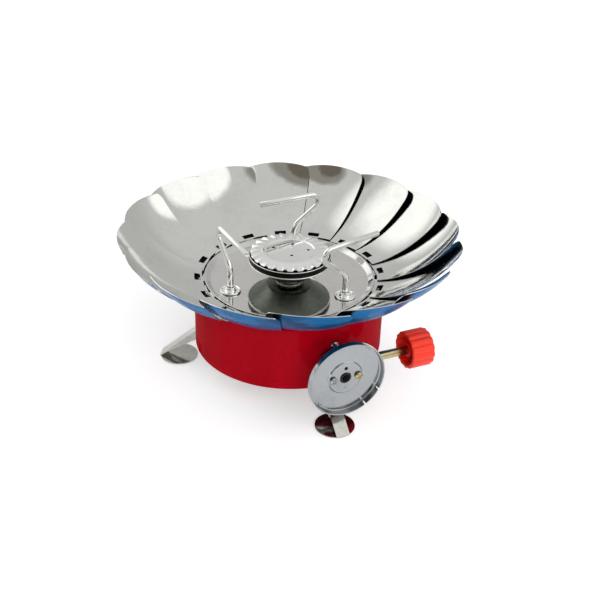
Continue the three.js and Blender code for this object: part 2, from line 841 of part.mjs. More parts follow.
// The knob is a scalloped cup, open towards the drum, with a hub that fits on the stem
function controlKnob() {
  const front = knobBack + knobLength;
  const floor = front - knobFace;
  const inner = knobRadius - knobWall;
  const geometry = turned([
    [knobRadius - knobCorner, knobBack],
    [knobRadius, knobBack + knobCorner],
    [knobRadius, front - knobCorner],
    [knobRadius - knobCorner, front],
    [0, front],
    [0, floor],
    [inner, floor],
    [inner, knobBack],
  ], scallopCount * scallopSteps);
  const places = geometry.getAttribute('position');
  for (let i = 0; i < places.count; i += 1) {
    const [x, y] = [places.getX(i), places.getY(i)];
    const radius = Math.hypot(x, y);
    if (radius < knobRadius - knobCorner - gap) continue;
    const wave = Math.abs(Math.sin((scallopCount / 2) * Math.atan2(y, x)));
    const scale = 1 - (scallopDepth * (1 - wave)) / radius;
    places.setXY(i, x * scale, y * scale);
  }
  let body = solid(alongY(geometry).translate(spindleStation, 0, inletHeight));
  body = body.add(solid(spindleRod(knobHubRadius, knobBack + knobHubSetback, front - knobCorner)));
  body = body.subtract(solid(spindleRod(stemRadius + gap, knobBack, stemEnd + gap)));
  body = body.subtract(solid(spindleRod(screwHole, knobBack, front + overrun)));
  body = body.subtract(solid(spindleRod(screwHeadRadius + gap, front - knobScrewRecess, front + overrun)));
  return piece('control_knob', body, 'knob');
}

function knobScrew() {
  const end = stemEnd - knobScrewGrip;
  const head = knobBack + knobLength - knobScrewRecess + gap;
  const profile = [
    [0, end],
    [screwRadius, end],
    [screwRadius, head],
    [screwHeadRadius, head],
    [screwHeadRadius, head + screwHeadHeight / 2],
    [screwHeadRadius / 2, head + screwHeadHeight],
    [0, head + screwHeadHeight],
  ];
  const body = solid(alongY(turned(profile, tinySides)).translate(spindleStation, 0, inletHeight));
  return piece('knob_screw', body, 'zinc');
}

function gasPipe() {
  const corners = [
    [neckEnd - gap, inletHeight],
    [0, inletHeight],
    [0, pipeTop],
  ];
  const path = roundedPath(corners, [pipeElbow]);
  const outer = solid(wire(path, pipeRadius, wireSides, pipeSteps));
  const bore = solid(wire(path, pipeBore, wireSides, pipeSteps));
  return piece('gas_pipe', outer.subtract(bore), 'brass');
}

function gasJet() {
  const bottom = pipeTop + gap;
  const shoulder = bottom + jetHeight - jetTipHeight;
  let body = solid(hexagon(jetWidth, bottom, shoulder));
  body = body.add(solid(rod(jetTipRadius, bottom + jetTipHeight, bottom + jetHeight, tinySides)));
  const hole = rod(orificeRadius, bottom - overrun, bottom + jetHeight + overrun, tinySides);
  return piece('gas_jet', body.subtract(solid(hole)), 'brass');
}

// The dish that a canister screws against, with a pressed centre and a rim tab between two slits
function canisterFlange() {
  const rim = flangeBack + flangeRim;
  const face = flangeBack + flangeSheet;
  const inner = flangeRadius - flangeSheet;
  const centre = [flangeRadius - flangeCorner, flangeBack + flangeCorner];
  const profile = [
    [inletHoleRadius, flangeBack + embossRise],
    [embossRadius - embossRise, flangeBack + embossRise],
    [embossRadius, flangeBack],
    ...arc(centre, flangeCorner, 270, 360, cornerSteps),
    [flangeRadius, rim],
    [inner, rim],
    ...arc(centre, flangeCorner - flangeSheet, 360, 270, cornerSteps),
    [embossRadius, face],
    [embossRadius - embossRise, face + embossRise],
    [inletHoleRadius, face + embossRise],
  ];
  let body = solid(alongX(turned(profile, roundSides)).translate(0, 0, inletHeight));
  const cut = (geometry) => {
    body = body.subtract(solid(geometry));
  };
  const [from, to] = [flangeBack - overrun, rim + overrun];
  cut(inletRod(screwHole, from, to, flangeScrewSide, 0));
  cut(inletRod(screwHole, from, to, -flangeScrewSide, 0));
  cut(inletRod(ventHoleRadius, from, to, 0, ventHoleRise));
  for (const side of [1, -1]) {
    const slit = block(flangeRim, 2 * overrun, tabSlit);
    slit.translate(flangeBack + flangeCorner + flangeRim / 2, flangeRadius, (side * tabWidth) / 2);
    cut(slit.rotateX(tabTurn * degree).translate(0, 0, inletHeight));
  }
  return piece('canister_flange', body, 'zinc');
}

function inletNipple() {
  const shoulder = flangeBack + nippleBaseHeight;
  const profile = [
    [nippleBase, flangeBack],
    [nippleBase, shoulder],
    [nippleRadius, shoulder],
    [nippleRadius, shoulder + nippleReach],
    [orificeRadius, shoulder + nippleReach],
    [orificeRadius, flangeBack],
  ];
  const body = solid(alongX(turned(profile, tinySides)).translate(0, 0, inletHeight));
  return piece('inlet_nipple', body, 'brass');
}

function inletSeal() {
  const station = flangeBack + nippleBaseHeight + gap + sealRingWire;
  const seal = alongX(turned(circle([sealRingRadius, station], sealRingWire, ringSides), tinySides));
  return piece('inlet_seal', solid(seal.translate(0, 0, inletHeight)), 'rubber');
}

function flangeScrew(name, finish, side) {
  const length = flangeScrewFace - valveFace + screwGrip;
  return screw(name, finish, length, flangeScrewFace, side * flangeScrewSide, 0);
}

function gasTrain() {
  return turnedGroup(-90, [
    valvePlate(),
    ...plateScrews(),
    valveBody(),
    glandNut(),
    spindleSeal(),
    valveSpindle(),
    controlKnob(),
    knobScrew(),
    gasPipe(),
    gasJet(),
    canisterFlange(),
    inletNipple(),
    inletSeal(),
    flangeScrew('flange_screw_1', 'brass', 1),
    flangeScrew('flange_screw_2', 'zinc', -1),
  ]);
}

const stove = new THREE.Group();
stove.add(
  drumShell(),
  burnerTray(),
  ...petals(),
  ...potSupports(),
  ...legs(),
  mixerTube(),
  burnerNut(),
  burnerCup(),
  burnerRing(),
  burnerCap(),
  gasTrain(),
);

export default stove;
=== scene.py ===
import json
import math

import bmesh
import bpy
from bpy.props import FloatProperty, FloatVectorProperty, IntProperty, PointerProperty
from mathutils import Matrix, Vector


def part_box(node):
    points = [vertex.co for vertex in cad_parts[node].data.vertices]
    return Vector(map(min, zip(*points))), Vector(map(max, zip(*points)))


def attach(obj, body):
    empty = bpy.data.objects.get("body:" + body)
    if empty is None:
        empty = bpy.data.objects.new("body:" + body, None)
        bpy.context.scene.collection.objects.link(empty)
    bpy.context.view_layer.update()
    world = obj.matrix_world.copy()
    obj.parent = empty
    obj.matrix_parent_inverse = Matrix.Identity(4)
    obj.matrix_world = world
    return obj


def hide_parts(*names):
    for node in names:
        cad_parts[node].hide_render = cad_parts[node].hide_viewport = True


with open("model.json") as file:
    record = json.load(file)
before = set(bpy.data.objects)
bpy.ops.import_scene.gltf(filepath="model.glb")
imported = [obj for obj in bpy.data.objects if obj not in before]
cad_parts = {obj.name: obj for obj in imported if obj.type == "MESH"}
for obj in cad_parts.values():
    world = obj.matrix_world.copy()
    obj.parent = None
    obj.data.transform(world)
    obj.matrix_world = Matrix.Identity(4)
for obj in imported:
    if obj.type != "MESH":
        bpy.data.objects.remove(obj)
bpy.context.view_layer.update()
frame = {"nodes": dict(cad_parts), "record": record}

bl_info = {
    "name": "Camping Stove",
    "version": (1, 0, 0),
    "blender": (4, 5, 0),
    "location": "View3D > Sidebar > Stove",
    "description": "Finished pieces of a folding camping stove, built around its fixed frame",
    "category": "Add Mesh",
}


# Sizes in metres, taken from the frame where it holds them


def low(node):
    """Lower corner of a node's box."""
    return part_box(node)[0]


def high(node):
    """Upper corner of a node's box."""
    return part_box(node)[1]


GAP = 0.0003
OVERRUN = 0.002
FINE_EDGE = 0.0001
EDGE = 0.0002
SOFT_EDGE = 0.0003
ROUND_EDGE = 0.0004
FULL_EDGE = 0.0005
TRAY_DEPTH = 0.0027
LIP_SETBACK = 0.0069
LIP_SLOPE = 0.0051
HINGE_REACH = 0.0014
HINGE_RISE = 0.0025
PIVOT_SETBACK = 0.0105
LEG_HINGE_SETBACK = 0.0125
LEG_HINGE_RISE = 0.0055
INLET_RISE = 0.0238
SPINDLE_REACH = 0.012
DRUM_RADIUS = high("drum_shell").x
DRUM_BOTTOM = low("drum_shell").z
DRUM_TOP = high("drum_shell").z
LIP_TOP = high("burner_tray").z
TRAY_FLOOR = LIP_TOP - TRAY_DEPTH
TRAY_SHEET = TRAY_FLOOR - low("burner_tray").z
LIP_RADIUS = DRUM_RADIUS - LIP_SETBACK
FLOOR_RADIUS = LIP_RADIUS - LIP_SLOPE
HINGE_RADIUS = LIP_RADIUS + HINGE_REACH
HINGE_HEIGHT = TRAY_FLOOR + HINGE_RISE
FIRST_PETAL = math.radians(-84.6)
SLOT_INSET = 0.001
SLOT_LENGTH = 0.0044
SLOT_WIDTH = 0.0088
PIVOT_RADIUS = FLOOR_RADIUS - PIVOT_SETBACK
FIRST_SUPPORT = math.radians(-56.4)
SUPPORT_TURNS = [math.radians(turn) for turn in (71.1, 119.7, 90)]
NECK_RADIUS = 0.0076
LEG_HINGE_RADIUS = DRUM_RADIUS - LEG_HINGE_SETBACK
LEG_HINGE_HEIGHT = DRUM_BOTTOM + LEG_HINGE_RISE
LEG_TIP = -low("leg_1").y
LEG_WIDTH = 0.01
FOOT_RADIUS = high("leg_1").x
INLET_HEIGHT = DRUM_BOTTOM + INLET_RISE
SPINDLE_STATION = DRUM_RADIUS + SPINDLE_REACH
DISH_RADIUS = high("canister_flange").x
DISH_BACK = -high("canister_flange").y
DISH_RIM = -low("canister_flange").y
SCREW_RADIUS = 0.0014
SCREW_BORE = SCREW_RADIUS + GAP
SCREW_HEAD = 0.0027
SCREW_RISE = 0.0018
CUP_RADIUS = high("burner_cup").x
CUP_RIM = high("burner_cup").z
RING_RADIUS = high("burner_ring").x
RING_TOP = high("burner_ring").z
CAP_EDGE = low("burner_cap").z
CAP_TOP = high("burner_cap").z
KNOB_BACK = low("control_knob").x
KNOB_FRONT = high("control_knob").x
KNOB_RADIUS = high("control_knob").z - INLET_HEIGHT

INLET_FRAME = Matrix.Translation((0, 0, INLET_HEIGHT)) @ Matrix.Rotation(math.radians(90), 4, "X")
SPINDLE_FRAME = (
    Matrix.Translation((0, -SPINDLE_STATION, INLET_HEIGHT)) @ Matrix.Rotation(math.radians(90), 4, "Y")
)


# Settings that a user would change


class DrumSettings(bpy.types.PropertyGroup):
    """Lacquered drum and the tray on it"""

    lacquer: FloatVectorProperty(
        name="Lacquer", description="Colour of the drum", subtype="COLOR", default=(0.42, 0.0008, 0.0085)
    )
    wall: FloatProperty(name="Wall", description="Thickness of the drum wall", unit="LENGTH", default=0.0008)
    corner: FloatProperty(name="Corner", description="Top corner radius", unit="LENGTH", default=0.0024)


class PetalSettings(bpy.types.PropertyGroup):
    """Petals of the windshield"""

    count: IntProperty(name="Petals", description="Petals round the tray", default=16, min=3)
    reach: FloatProperty(name="Reach", description="Level reach of a petal", unit="LENGTH", default=0.0578)
    bend: FloatProperty(name="Bend", description="Radius of the bent sheet", unit="LENGTH", default=0.084)
    sheet: FloatProperty(name="Sheet", description="Thickness of the sheet", unit="LENGTH", default=0.0005)
    base_slope: FloatProperty(
        name="Base Slope", description="Slope at the hinge", subtype="ANGLE", default=math.radians(8.8)
    )
    half_angle: FloatProperty(
        name="Half Angle", description="Half of a petal's width", subtype="ANGLE", default=math.radians(12.9)
    )
    scallop: FloatProperty(
        name="Scallop", description="Depth of the rim's curve", unit="LENGTH", default=0.002
    )
    flatness: FloatProperty(
        name="Flatness", description="0 follows the bowl, below 0 makes a trough", default=-1, max=1
    )
    film: FloatVectorProperty(
        name="Film", description="Film on the outside", subtype="COLOR", default=(0.003, 0.135, 0.36)
    )


class BurnerSettings(bpy.types.PropertyGroup):
    """Burner cap"""

    flutes: IntProperty(name="Flutes", description="Pressed flutes round the cap", default=25, min=3)
    flute_rise: FloatProperty(
        name="Flute Rise", description="Height at the rim", unit="LENGTH", default=0.0015
    )


class SupportSettings(bpy.types.PropertyGroup):
    """Wire supports for the pot"""

    wire: FloatProperty(name="Wire", description="Radius of the wire", unit="LENGTH", default=0.0021)
    elbow: FloatProperty(name="Elbow", description="Radius of the lower bend", unit="LENGTH", default=0.011)
    bend: FloatProperty(name="Bend", description="Radius of the upper bend", unit="LENGTH", default=0.0058)


class KnobSettings(bpy.types.PropertyGroup):
    """Control knob"""

    scallops: IntProperty(name="Scallops", description="Grip ribs round the knob", default=14, min=3)
    depth: FloatProperty(name="Depth", description="Depth between two ribs", unit="LENGTH", default=0.001)
    plastic: FloatVectorProperty(
        name="Plastic", description="Colour of the knob", subtype="COLOR", default=(0.87, 0.035, 0.012)
    )


class StageSettings(bpy.types.PropertyGroup):
    """Floor, light and camera"""

    lens: FloatProperty(name="Lens", description="Focal length in millimetres", default=59.07)
    floor: FloatVectorProperty(
        name="Floor", description="Colour of the floor", subtype="COLOR", default=(0.92, 0.92, 0.92)
    )
    light: FloatProperty(name="Light", description="Strength of the lamps", default=1.0, min=0)


# Mesh tools


def fillet(corners, steps=4):
    """Points of an outline whose (x, y, radius) corners are rounded to their radius."""
    points = []
    for i, (x, y, radius) in enumerate(corners):
        corner = Vector((x, y))
        if not radius:
            points.append(corner)
            continue
        before = Vector(corners[i - 1][:2]) - corner
        after = Vector(corners[(i + 1) % len(corners)][:2]) - corner
        half = before.angle(after) / 2
        setback = min(radius / math.tan(half), before.length / 2, after.length / 2)
        inner = setback * math.tan(half)
        centre = corner + (before.normalized() + after.normalized()).normalized() * inner / math.sin(half)
        first = corner + before.normalized() * setback - centre
        last = corner + after.normalized() * setback - centre
        turn = first.angle_signed(last)
        for k in range(steps + 1):
            arm = first.copy()
            arm.rotate(Matrix.Rotation(-turn * k / steps, 2))
            points.append(centre + arm)
    return points


def ring(bm, radius, height, sides):
    """Ring of vertices about Z, or one vertex on the axis."""
    if radius < GAP / 100:
        return [bm.verts.new((0, 0, height))]
    turns = [math.tau * k / sides for k in range(sides)]
    return [bm.verts.new((radius * math.cos(t), radius * math.sin(t), height)) for t in turns]


def skin(bm, rings, closed=True):
    """Faces between each ring and the next one, which is the first again when closed."""
    following = rings[1:] + rings[:1] if closed else rings[1:]
    for a, b in zip(rings, following):
        sides = max(len(a), len(b))
        if sides == 1:
            continue
        for k in range(sides):
            n = (k + 1) % sides
            corners = [a[k % len(a)], a[n % len(a)], b[n % len(b)], b[k % len(b)]]
            bm.faces.new(dict.fromkeys(corners))


def lathe(outline, sides):
    """Closed outline of (radius, height) points turned about Z."""
    bm = bmesh.new()
    skin(bm, [ring(bm, x, y, sides) for x, y in outline])
    bmesh.ops.recalc_face_normals(bm, faces=bm.faces)
    return bm


def sweep(points, radii, sides):
    """Round bar along points in the X and Z plane, with a radius for each point."""
    bm = bmesh.new()
    turns = [math.tau * k / sides for k in range(sides)]
    rings = []
    for i, (x, z) in enumerate(points):
        ahead = Vector(points[min(i + 1, len(points) - 1)]) - Vector(points[max(i - 1, 0)])
        across = Vector((-ahead.y, ahead.x)).normalized()
        loop = []
        for t in turns:
            out, side = radii[i] * math.cos(t), radii[i] * math.sin(t)
            loop.append(bm.verts.new((x + across.x * out, side, z + across.y * out)))
        rings.append(loop)
    skin(bm, rings, closed=False)
    bm.faces.new(rings[0])
    bm.faces.new(rings[-1])
    bmesh.ops.recalc_face_normals(bm, faces=bm.faces)
    return bm


def turned(corners, sides=40, steps=4):
    """Solid turned about Z from an outline of (radius, height, corner radius) corners."""
    return lathe(fillet(corners, steps), sides)


def bar(radius, start, end, sides=24, chamfer=0.0):
    """Round bar along Z, with a chamfer at both ends."""
    return turned([(0, start, 0), (radius, start, chamfer), (radius, end, chamfer), (0, end, 0)], sides)


def slab(outline, thickness):
    """Outline in the X and Z plane, given thickness along Y."""
    bm = bmesh.new()
    front = [bm.verts.new((x, -thickness / 2, z)) for x, z in outline]
    back = [bm.verts.new((x, thickness / 2, z)) for x, z in outline]
    skin(bm, [front, back], closed=False)
    bm.faces.new(front)
    bm.faces.new(back)
    bmesh.ops.recalc_face_normals(bm, faces=bm.faces)
    return bm


def box(x, y, z):
    """Block about the origin."""
    bm = bmesh.new()
    bmesh.ops.create_cube(bm, size=1, matrix=Matrix.Diagonal((x, y, z, 1)))
    return bm


def hexagon(width, start, end):
    """Six-sided bar along Z, of a width across its flats."""
    corner = width / math.sqrt(3)
    return lathe([(0, start), (corner, start), (corner, end), (0, end)], 6)


def moved(bm, matrix):
    bm.transform(matrix)
    return bm


def around(count, make, first=0.0):
    """New shapes from make, spread evenly about Z from a first angle."""
    return [moved(make(), turn_z(first + math.tau * i / count)) for i in range(count)]


def paint_where(bm, wanted):
    """Gives the second material to the faces whose centre the test accepts."""
    for face in bm.faces:
        face.material_index = int(wanted(face.calc_center_median()))


def merged(*parts):
    """One bmesh from several, which are used up."""
    whole = bmesh.new()
    for part in parts:
        mesh = bpy.data.meshes.new("part")
        part.to_mesh(mesh)
        part.free()
        whole.from_mesh(mesh)
        bpy.data.meshes.remove(mesh)
    return whole


def temporary(bm):
    """Object that holds a bmesh for one modifier."""
    mesh = bpy.data.meshes.new("temporary")
    bm.to_mesh(mesh)
    bm.free()
    obj = bpy.data.objects.new("temporary", mesh)
    bpy.context.scene.collection.objects.link(obj)
    return obj


def combine(body, tools, operation="DIFFERENCE"):
    """Cuts the tools out of the body, or joins them to it, and raises where nothing is left."""
    target = temporary(body)
    tool = temporary(merged(*tools))
    step = target.modifiers.new("combine", "BOOLEAN")
    step.operation = operation
    step.solver = "EXACT"
    step.use_self = len(tools) > 1
    step.object = tool
    graph = bpy.context.evaluated_depsgraph_get()
    mesh = bpy.data.meshes.new_from_object(target.evaluated_get(graph))
    result = bmesh.new()
    result.from_mesh(mesh)
    for obj in (target, tool):
        old = obj.data
        bpy.data.objects.remove(obj)
        bpy.data.meshes.remove(old)
    bpy.data.meshes.remove(mesh)
    if not result.faces:
        raise RuntimeError("a cut or a join left nothing of the piece")
    return result


def piece(name, bm, materials, node, bevel=0.0, smooth=35):
    """Finished object that stands for a node and rides on the node's body."""
    mesh = bpy.data.meshes.new(name)
    bm.to_mesh(mesh)
    bm.free()
    mesh.shade_smooth()
    mesh.set_sharp_from_angle(angle=math.radians(smooth))
    for material in materials:
        mesh.materials.append(material)
    return dress(name, mesh, node, bevel)


def dress(name, mesh, node, bevel=0.0):
    """Object of a mesh that rides on the body of its node and stands for it."""
    obj = bpy.data.objects.new(name, mesh)
    bpy.context.scene.collection.objects.link(obj)
    if bevel:
        step = obj.modifiers.new("edges", "BEVEL")
        step.width = bevel
        step.segments = 2
        step.limit_method = "ANGLE"
        step.angle_limit = math.radians(40)
        step.harden_normals = True
    bodies = frame["record"]["behaviour"]["bodies"]
    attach(obj, next(body for body, nodes in bodies.items() if node in nodes))
    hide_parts(node)
    return obj


def turn_z(angle):
    return Matrix.Rotation(angle, 4, "Z")


def shift(x=0.0, y=0.0, z=0.0):
    return Matrix.Translation((x, y, z))


# Node tools


class Nodes:
    """Adds nodes to a tree and links the sockets that it is given."""

    def __init__(self, tree):
        self.tree = tree

    def add(self, kind, inputs=None, output=0, **settings):
        node = self.tree.nodes.new("ShaderNode" + kind)
        for key, value in settings.items():
            setattr(node, key, value)
        for key, value in (inputs or {}).items():
            self.put(node.inputs[key], value)
        return node.outputs[output]

    def put(self, socket, value):
        if isinstance(value, bpy.types.NodeSocket):
            self.tree.links.new(value, socket)
        else:
            socket.default_value = value

    def math(self, operation, a, b=0.0, c=0.0):
        return self.add("Math", {0: a, 1: b, 2: c}, operation=operation)

    def vector(self, operation, a, b=(0, 0, 0), output=0):
        return self.add("VectorMath", {0: a, 1: b}, output, operation=operation)

    def mix(self, mask, a, b):
        return self.add("Mix", {0: mask, 6: a, 7: b}, output=2, data_type="RGBA")

    def span(self, value, start, end, low=0.0, high=1.0):
        inputs = {"Value": value, "From Min": start, "From Max": end, "To Min": low, "To Max": high}
        return self.add("MapRange", inputs, interpolation_type="SMOOTHSTEP")

    def noise(self, vector, scale, detail=3.0, roughness=0.5):
        inputs = {"Vector": vector, "Scale": scale, "Detail": detail, "Roughness": roughness}
        return self.add("TexNoise", inputs)

    def group(self, tree, inputs, output=0):
        node = self.tree.nodes.new("ShaderNodeGroup")
        node.node_tree = tree
        for key, value in inputs.items():
            self.put(node.inputs[key], value)
        return node.outputs[output]

    def place(self):
        return self.add("TexCoord", output="Object")

    def bump(self, height, distance, strength=1.0):
        return self.add("Bump", {"Height": height, "Distance": distance, "Strength": strength})


def effect(name, inputs, output, recipe):
    """Node group made once, with one output that the recipe returns."""
    tree = bpy.data.node_groups.get(name)
    if tree:
        return tree
    tree = bpy.data.node_groups.new(name, "ShaderNodeTree")
    tree.interface.new_socket(name="Place", in_out="INPUT", socket_type="NodeSocketVector")
    for socket, value in inputs.items():
        item = tree.interface.new_socket(name=socket, in_out="INPUT", socket_type="NodeSocketFloat")
        item.default_value = value
    kind = "NodeSocketFloat" if output != "Colour" else "NodeSocketColor"
    tree.interface.new_socket(name=output, in_out="OUTPUT", socket_type=kind)
    source = tree.nodes.new("NodeGroupInput").outputs
    sink = tree.nodes.new("NodeGroupOutput").inputs
    tree.links.new(recipe(Nodes(tree), source), sink[0])
    return tree


def hairlines():
    """Fine polishing lines, drawn out along Y of the place that it gets."""

    def recipe(nodes, given):
        stretched = nodes.vector("MULTIPLY", given["Place"], (1, 0.03, 1))
        lines = nodes.noise(stretched, given["Scale"], 4.0, 0.6)
        return nodes.span(lines, 0.35, 0.75)

    return effect("Hairlines", {"Scale": 2500.0}, "Lines", recipe)


def smudges():
    """Soft patches left by handling, 0 where clean and 1 where smudged."""

    def recipe(nodes, given):
        cloud = nodes.noise(given["Place"], given["Scale"], 5.0, 0.62)
        film = nodes.noise(given["Place"], nodes.math("MULTIPLY", given["Scale"], 7.0), 3.0)
        both = nodes.math("MULTIPLY_ADD", film, 0.3, nodes.math("MULTIPLY", cloud, 0.7))
        return nodes.span(both, 0.44, 0.68)

    return effect("Smudges", {"Scale": 40.0}, "Mask", recipe)


def wobble():
    """Slow unevenness of pressed sheet."""

    def recipe(nodes, given):
        slow = nodes.noise(given["Place"], given["Scale"], 1.0, 0.4)
        ripple = nodes.noise(given["Place"], 200.0, 2.0)
        return nodes.math("MULTIPLY_ADD", ripple, 0.08, slow)

    return effect("Wobble", {"Scale": 22.0}, "Height", recipe)


def grain():
    """Fine grain of moulded, cast or blasted surfaces."""

    def recipe(nodes, given):
        fine = nodes.noise(given["Place"], given["Scale"], 2.0, 0.7)
        coarse = nodes.noise(given["Place"], nodes.math("MULTIPLY", given["Scale"], 0.3), 2.0)
        return nodes.math("MULTIPLY_ADD", coarse, 0.6, nodes.math("MULTIPLY", fine, 0.4))

    return effect("Grain", {"Scale": 2200.0}, "Height", recipe)


def around_axis(nodes, place, axis):
    """Place turned into (distance, angle, height) about an axis, for lines that run round it."""
    spread = 0.02
    x, y, z = [nodes.add("SeparateXYZ", {0: place}, k) for k in range(3)]
    if axis == "Y":
        x, y, z = x, nodes.math("SUBTRACT", z, INLET_HEIGHT), y
    if axis == "X":
        x, y, z = nodes.math("ADD", y, SPINDLE_STATION), nodes.math("SUBTRACT", z, INLET_HEIGHT), x
    squares = nodes.math("MULTIPLY_ADD", x, x, nodes.math("MULTIPLY", y, y))
    far = nodes.math("SQRT", squares)
    angle = nodes.math("MULTIPLY", nodes.math("ARCTAN2", y, x), spread)
    return nodes.add("CombineXYZ", {0: far, 1: angle, 2: z})


def finish(name, recipe):
    """Material made once; the recipe gets its nodes and returns the shader's inputs."""
    made = bpy.data.materials.get(name)
    if made:
        return made
    made = bpy.data.materials.new(name)
    made.use_nodes = True
    nodes = Nodes(made.node_tree)
    shader = made.node_tree.nodes["Principled BSDF"]
    for key, value in recipe(nodes).items():
        nodes.put(shader.inputs[key], value)
    return made


def metal(name, clean, stained, smooth, dull, axis="", lines=0.00001, uneven=0.0):
    """Sheet or turned metal: smudged colour and roughness, hairlines and a slow unevenness."""

    def recipe(nodes):
        place = nodes.place()
        lie = around_axis(nodes, place, axis) if axis else place
        marks = nodes.group(smudges(), {"Place": place, "Scale": 45.0})
        fine = nodes.group(hairlines(), {"Place": lie, "Scale": 2600.0})
        slow = nodes.group(wobble(), {"Place": place, "Scale": 24.0})
        smudged = nodes.math("MULTIPLY_ADD", marks, dull - smooth, smooth)
        lined = nodes.bump(fine, lines, 0.6)
        return {
            "Base Color": nodes.mix(marks, (*clean, 1), (*stained, 1)),
            "Metallic": 1.0,
            "Roughness": nodes.math("MULTIPLY_ADD", fine, 0.03, smudged),
            "Normal": nodes.add("Bump", {"Height": slow, "Distance": uneven, "Normal": lined}),
        }

    return finish(name, recipe)


def petal_steel():
    colours = (0.74, 0.74, 0.725), (0.68, 0.68, 0.66)
    return metal("Mirror Steel", *colours, smooth=0.05, dull=0.11, lines=0.000004, uneven=0.0006)


def tray_steel():
    colours = (0.72, 0.71, 0.70), (0.66, 0.645, 0.63)
    return metal("Tray Steel", *colours, smooth=0.04, dull=0.1, axis="Z", lines=0.000003, uneven=0.0001)


def wire_steel():
    colours = (0.95, 0.955, 0.94), (0.84, 0.85, 0.82)
    return metal("Bright Wire", *colours, smooth=0.02, dull=0.08, lines=0.000004, uneven=0.00005)


def leg_steel():
    colours = (0.46, 0.455, 0.43), (0.36, 0.35, 0.32)
    return metal("Polished Leg", *colours, smooth=0.08, dull=0.18, lines=0.000005, uneven=0.0002)


def bracket_steel():
    colours = (0.52, 0.53, 0.53), (0.40, 0.405, 0.40)
    return metal("Bracket Steel", *colours, smooth=0.3, dull=0.45, lines=0.00002)


def cap_steel():
    colours = (0.93, 0.93, 0.925), (0.88, 0.875, 0.86)
    return metal("Cap Steel", *colours, smooth=0.0, dull=0.03, axis="Z", lines=0.0, uneven=0.00002)


# Dark grey-green: partly the cup's own darkened steel, partly painted shade.
def cup_steel():
    colours = (0.25, 0.275, 0.245), (0.17, 0.19, 0.165)
    return metal("Dark Cup", *colours, smooth=0.3, dull=0.42, axis="Z", uneven=0.0001)


def ring_steel():
    colours = (0.012, 0.016, 0.014), (0.03, 0.034, 0.03)
    return metal("Black Ring", *colours, smooth=0.35, dull=0.5, axis="Z")


def neck_steel():
    colours = (0.42, 0.43, 0.40), (0.26, 0.27, 0.24)
    return metal("Neck Steel", *colours, smooth=0.16, dull=0.3, axis="Z")


def zinc_plate(axis="Y"):
    colours = (0.36, 0.376, 0.39), (0.30, 0.315, 0.33)
    name = "Zinc Plate " + axis
    return metal(name, *colours, smooth=0.12, dull=0.22, axis=axis, lines=0.000005, uneven=0.00005)


def brass(axis="X"):
    colours = (0.50, 0.41, 0.22), (0.28, 0.22, 0.11)
    return metal("Brass " + axis, *colours, smooth=0.18, dull=0.3, axis=axis)


# Near-black brass: painted shade on the opener in the dish's dark centre hole.
def painted_shade_brass():
    colours = (0.012, 0.011, 0.009), (0.005, 0.005, 0.004)
    return metal("Brass Painted Shade", *colours, smooth=0.4, dull=0.55, axis="Y")


def painted_shade_black():
    """Painted shade: dull black on the edges that the petals cover, on the tray's hooks and sheet beyond the
    hinge, and on the walls of the cap's holes.
    """

    def recipe(nodes):
        marks = nodes.group(smudges(), {"Place": nodes.place(), "Scale": 60.0})
        return {
            "Base Color": nodes.mix(marks, (0.003, 0.003, 0.003, 1), (0.008, 0.008, 0.009, 1)),
            "Roughness": nodes.math("MULTIPLY_ADD", marks, 0.2, 0.6),
            "Specular IOR Level": 0.1,
        }

    return finish("Painted Shade Black", recipe)


def rubber():
    """Black seal rubber with a fine grain."""

    def recipe(nodes):
        height = nodes.group(grain(), {"Place": nodes.place(), "Scale": 3000.0})
        return {
            "Base Color": nodes.mix(height, (0.004, 0.004, 0.004, 1), (0.018, 0.018, 0.018, 1)),
            "Roughness": nodes.span(height, 0.3, 0.7, 0.6, 0.85),
            "Normal": nodes.bump(height, 0.00003),
        }

    return finish("Seal Rubber", recipe)


def red_lacquer(colour):
    """Stoved lacquer with a thin clear coat, faint orange peel and smudges."""
    deep_share = 0.78

    def recipe(nodes):
        place = nodes.place()
        peel = nodes.noise(place, 420.0, 2.0)
        marks = nodes.group(smudges(), {"Place": place, "Scale": 30.0})
        deep = [deep_share * c for c in colour]
        return {
            "Base Color": nodes.mix(marks, (*colour, 1), (*deep, 1)),
            "Roughness": nodes.math("MULTIPLY_ADD", marks, 0.08, 0.3),
            "Specular IOR Level": 0.0,
            "Coat Weight": 0.07,
            "Coat Roughness": 0.03,
            "Normal": nodes.bump(peel, 0.00003, 0.5),
        }

    return finish("Red Lacquer", recipe)


def blue_film(colour):
    """Blue film on the steel, with drawn streaks and creases, and painted shade: black where the next petal
    covers it.
    """
    deep_share = 0.35
    # Painted shade: the film turns black between these shares of lap, where the next petal covers it.
    lap_shade_start_share, lap_shade_end_share = 0.66, 0.74
    covered = (0.002, 0.004, 0.008, 1)

    def recipe(nodes):
        place = nodes.place()
        stretched = nodes.vector("MULTIPLY", place, (0.25, 1, 1))
        streaks = nodes.span(nodes.noise(stretched, 60.0, 6.0, 0.65), 0.42, 0.66)
        creases = nodes.noise(nodes.vector("MULTIPLY", place, (0.4, 1, 1)), 160.0, 3.0)
        deep = [deep_share * c for c in colour]
        lap = nodes.add("Attribute", output="Fac", attribute_name="lap")
        lap_shade = nodes.span(lap, lap_shade_start_share, lap_shade_end_share)
        seen = nodes.mix(streaks, (*colour, 1), (*deep, 1))
        return {
            "Base Color": nodes.mix(lap_shade, seen, covered),
            "Metallic": 0.2,
            "Roughness": nodes.math("MULTIPLY_ADD", streaks, 0.12, 0.2),
            "Specular IOR Level": 0.05,
            "Specular Tint": (0.3, 0.6, 0.95, 1),
            "Normal": nodes.bump(creases, 0.0004, 0.5),
        }

    return finish("Blue Film", recipe)


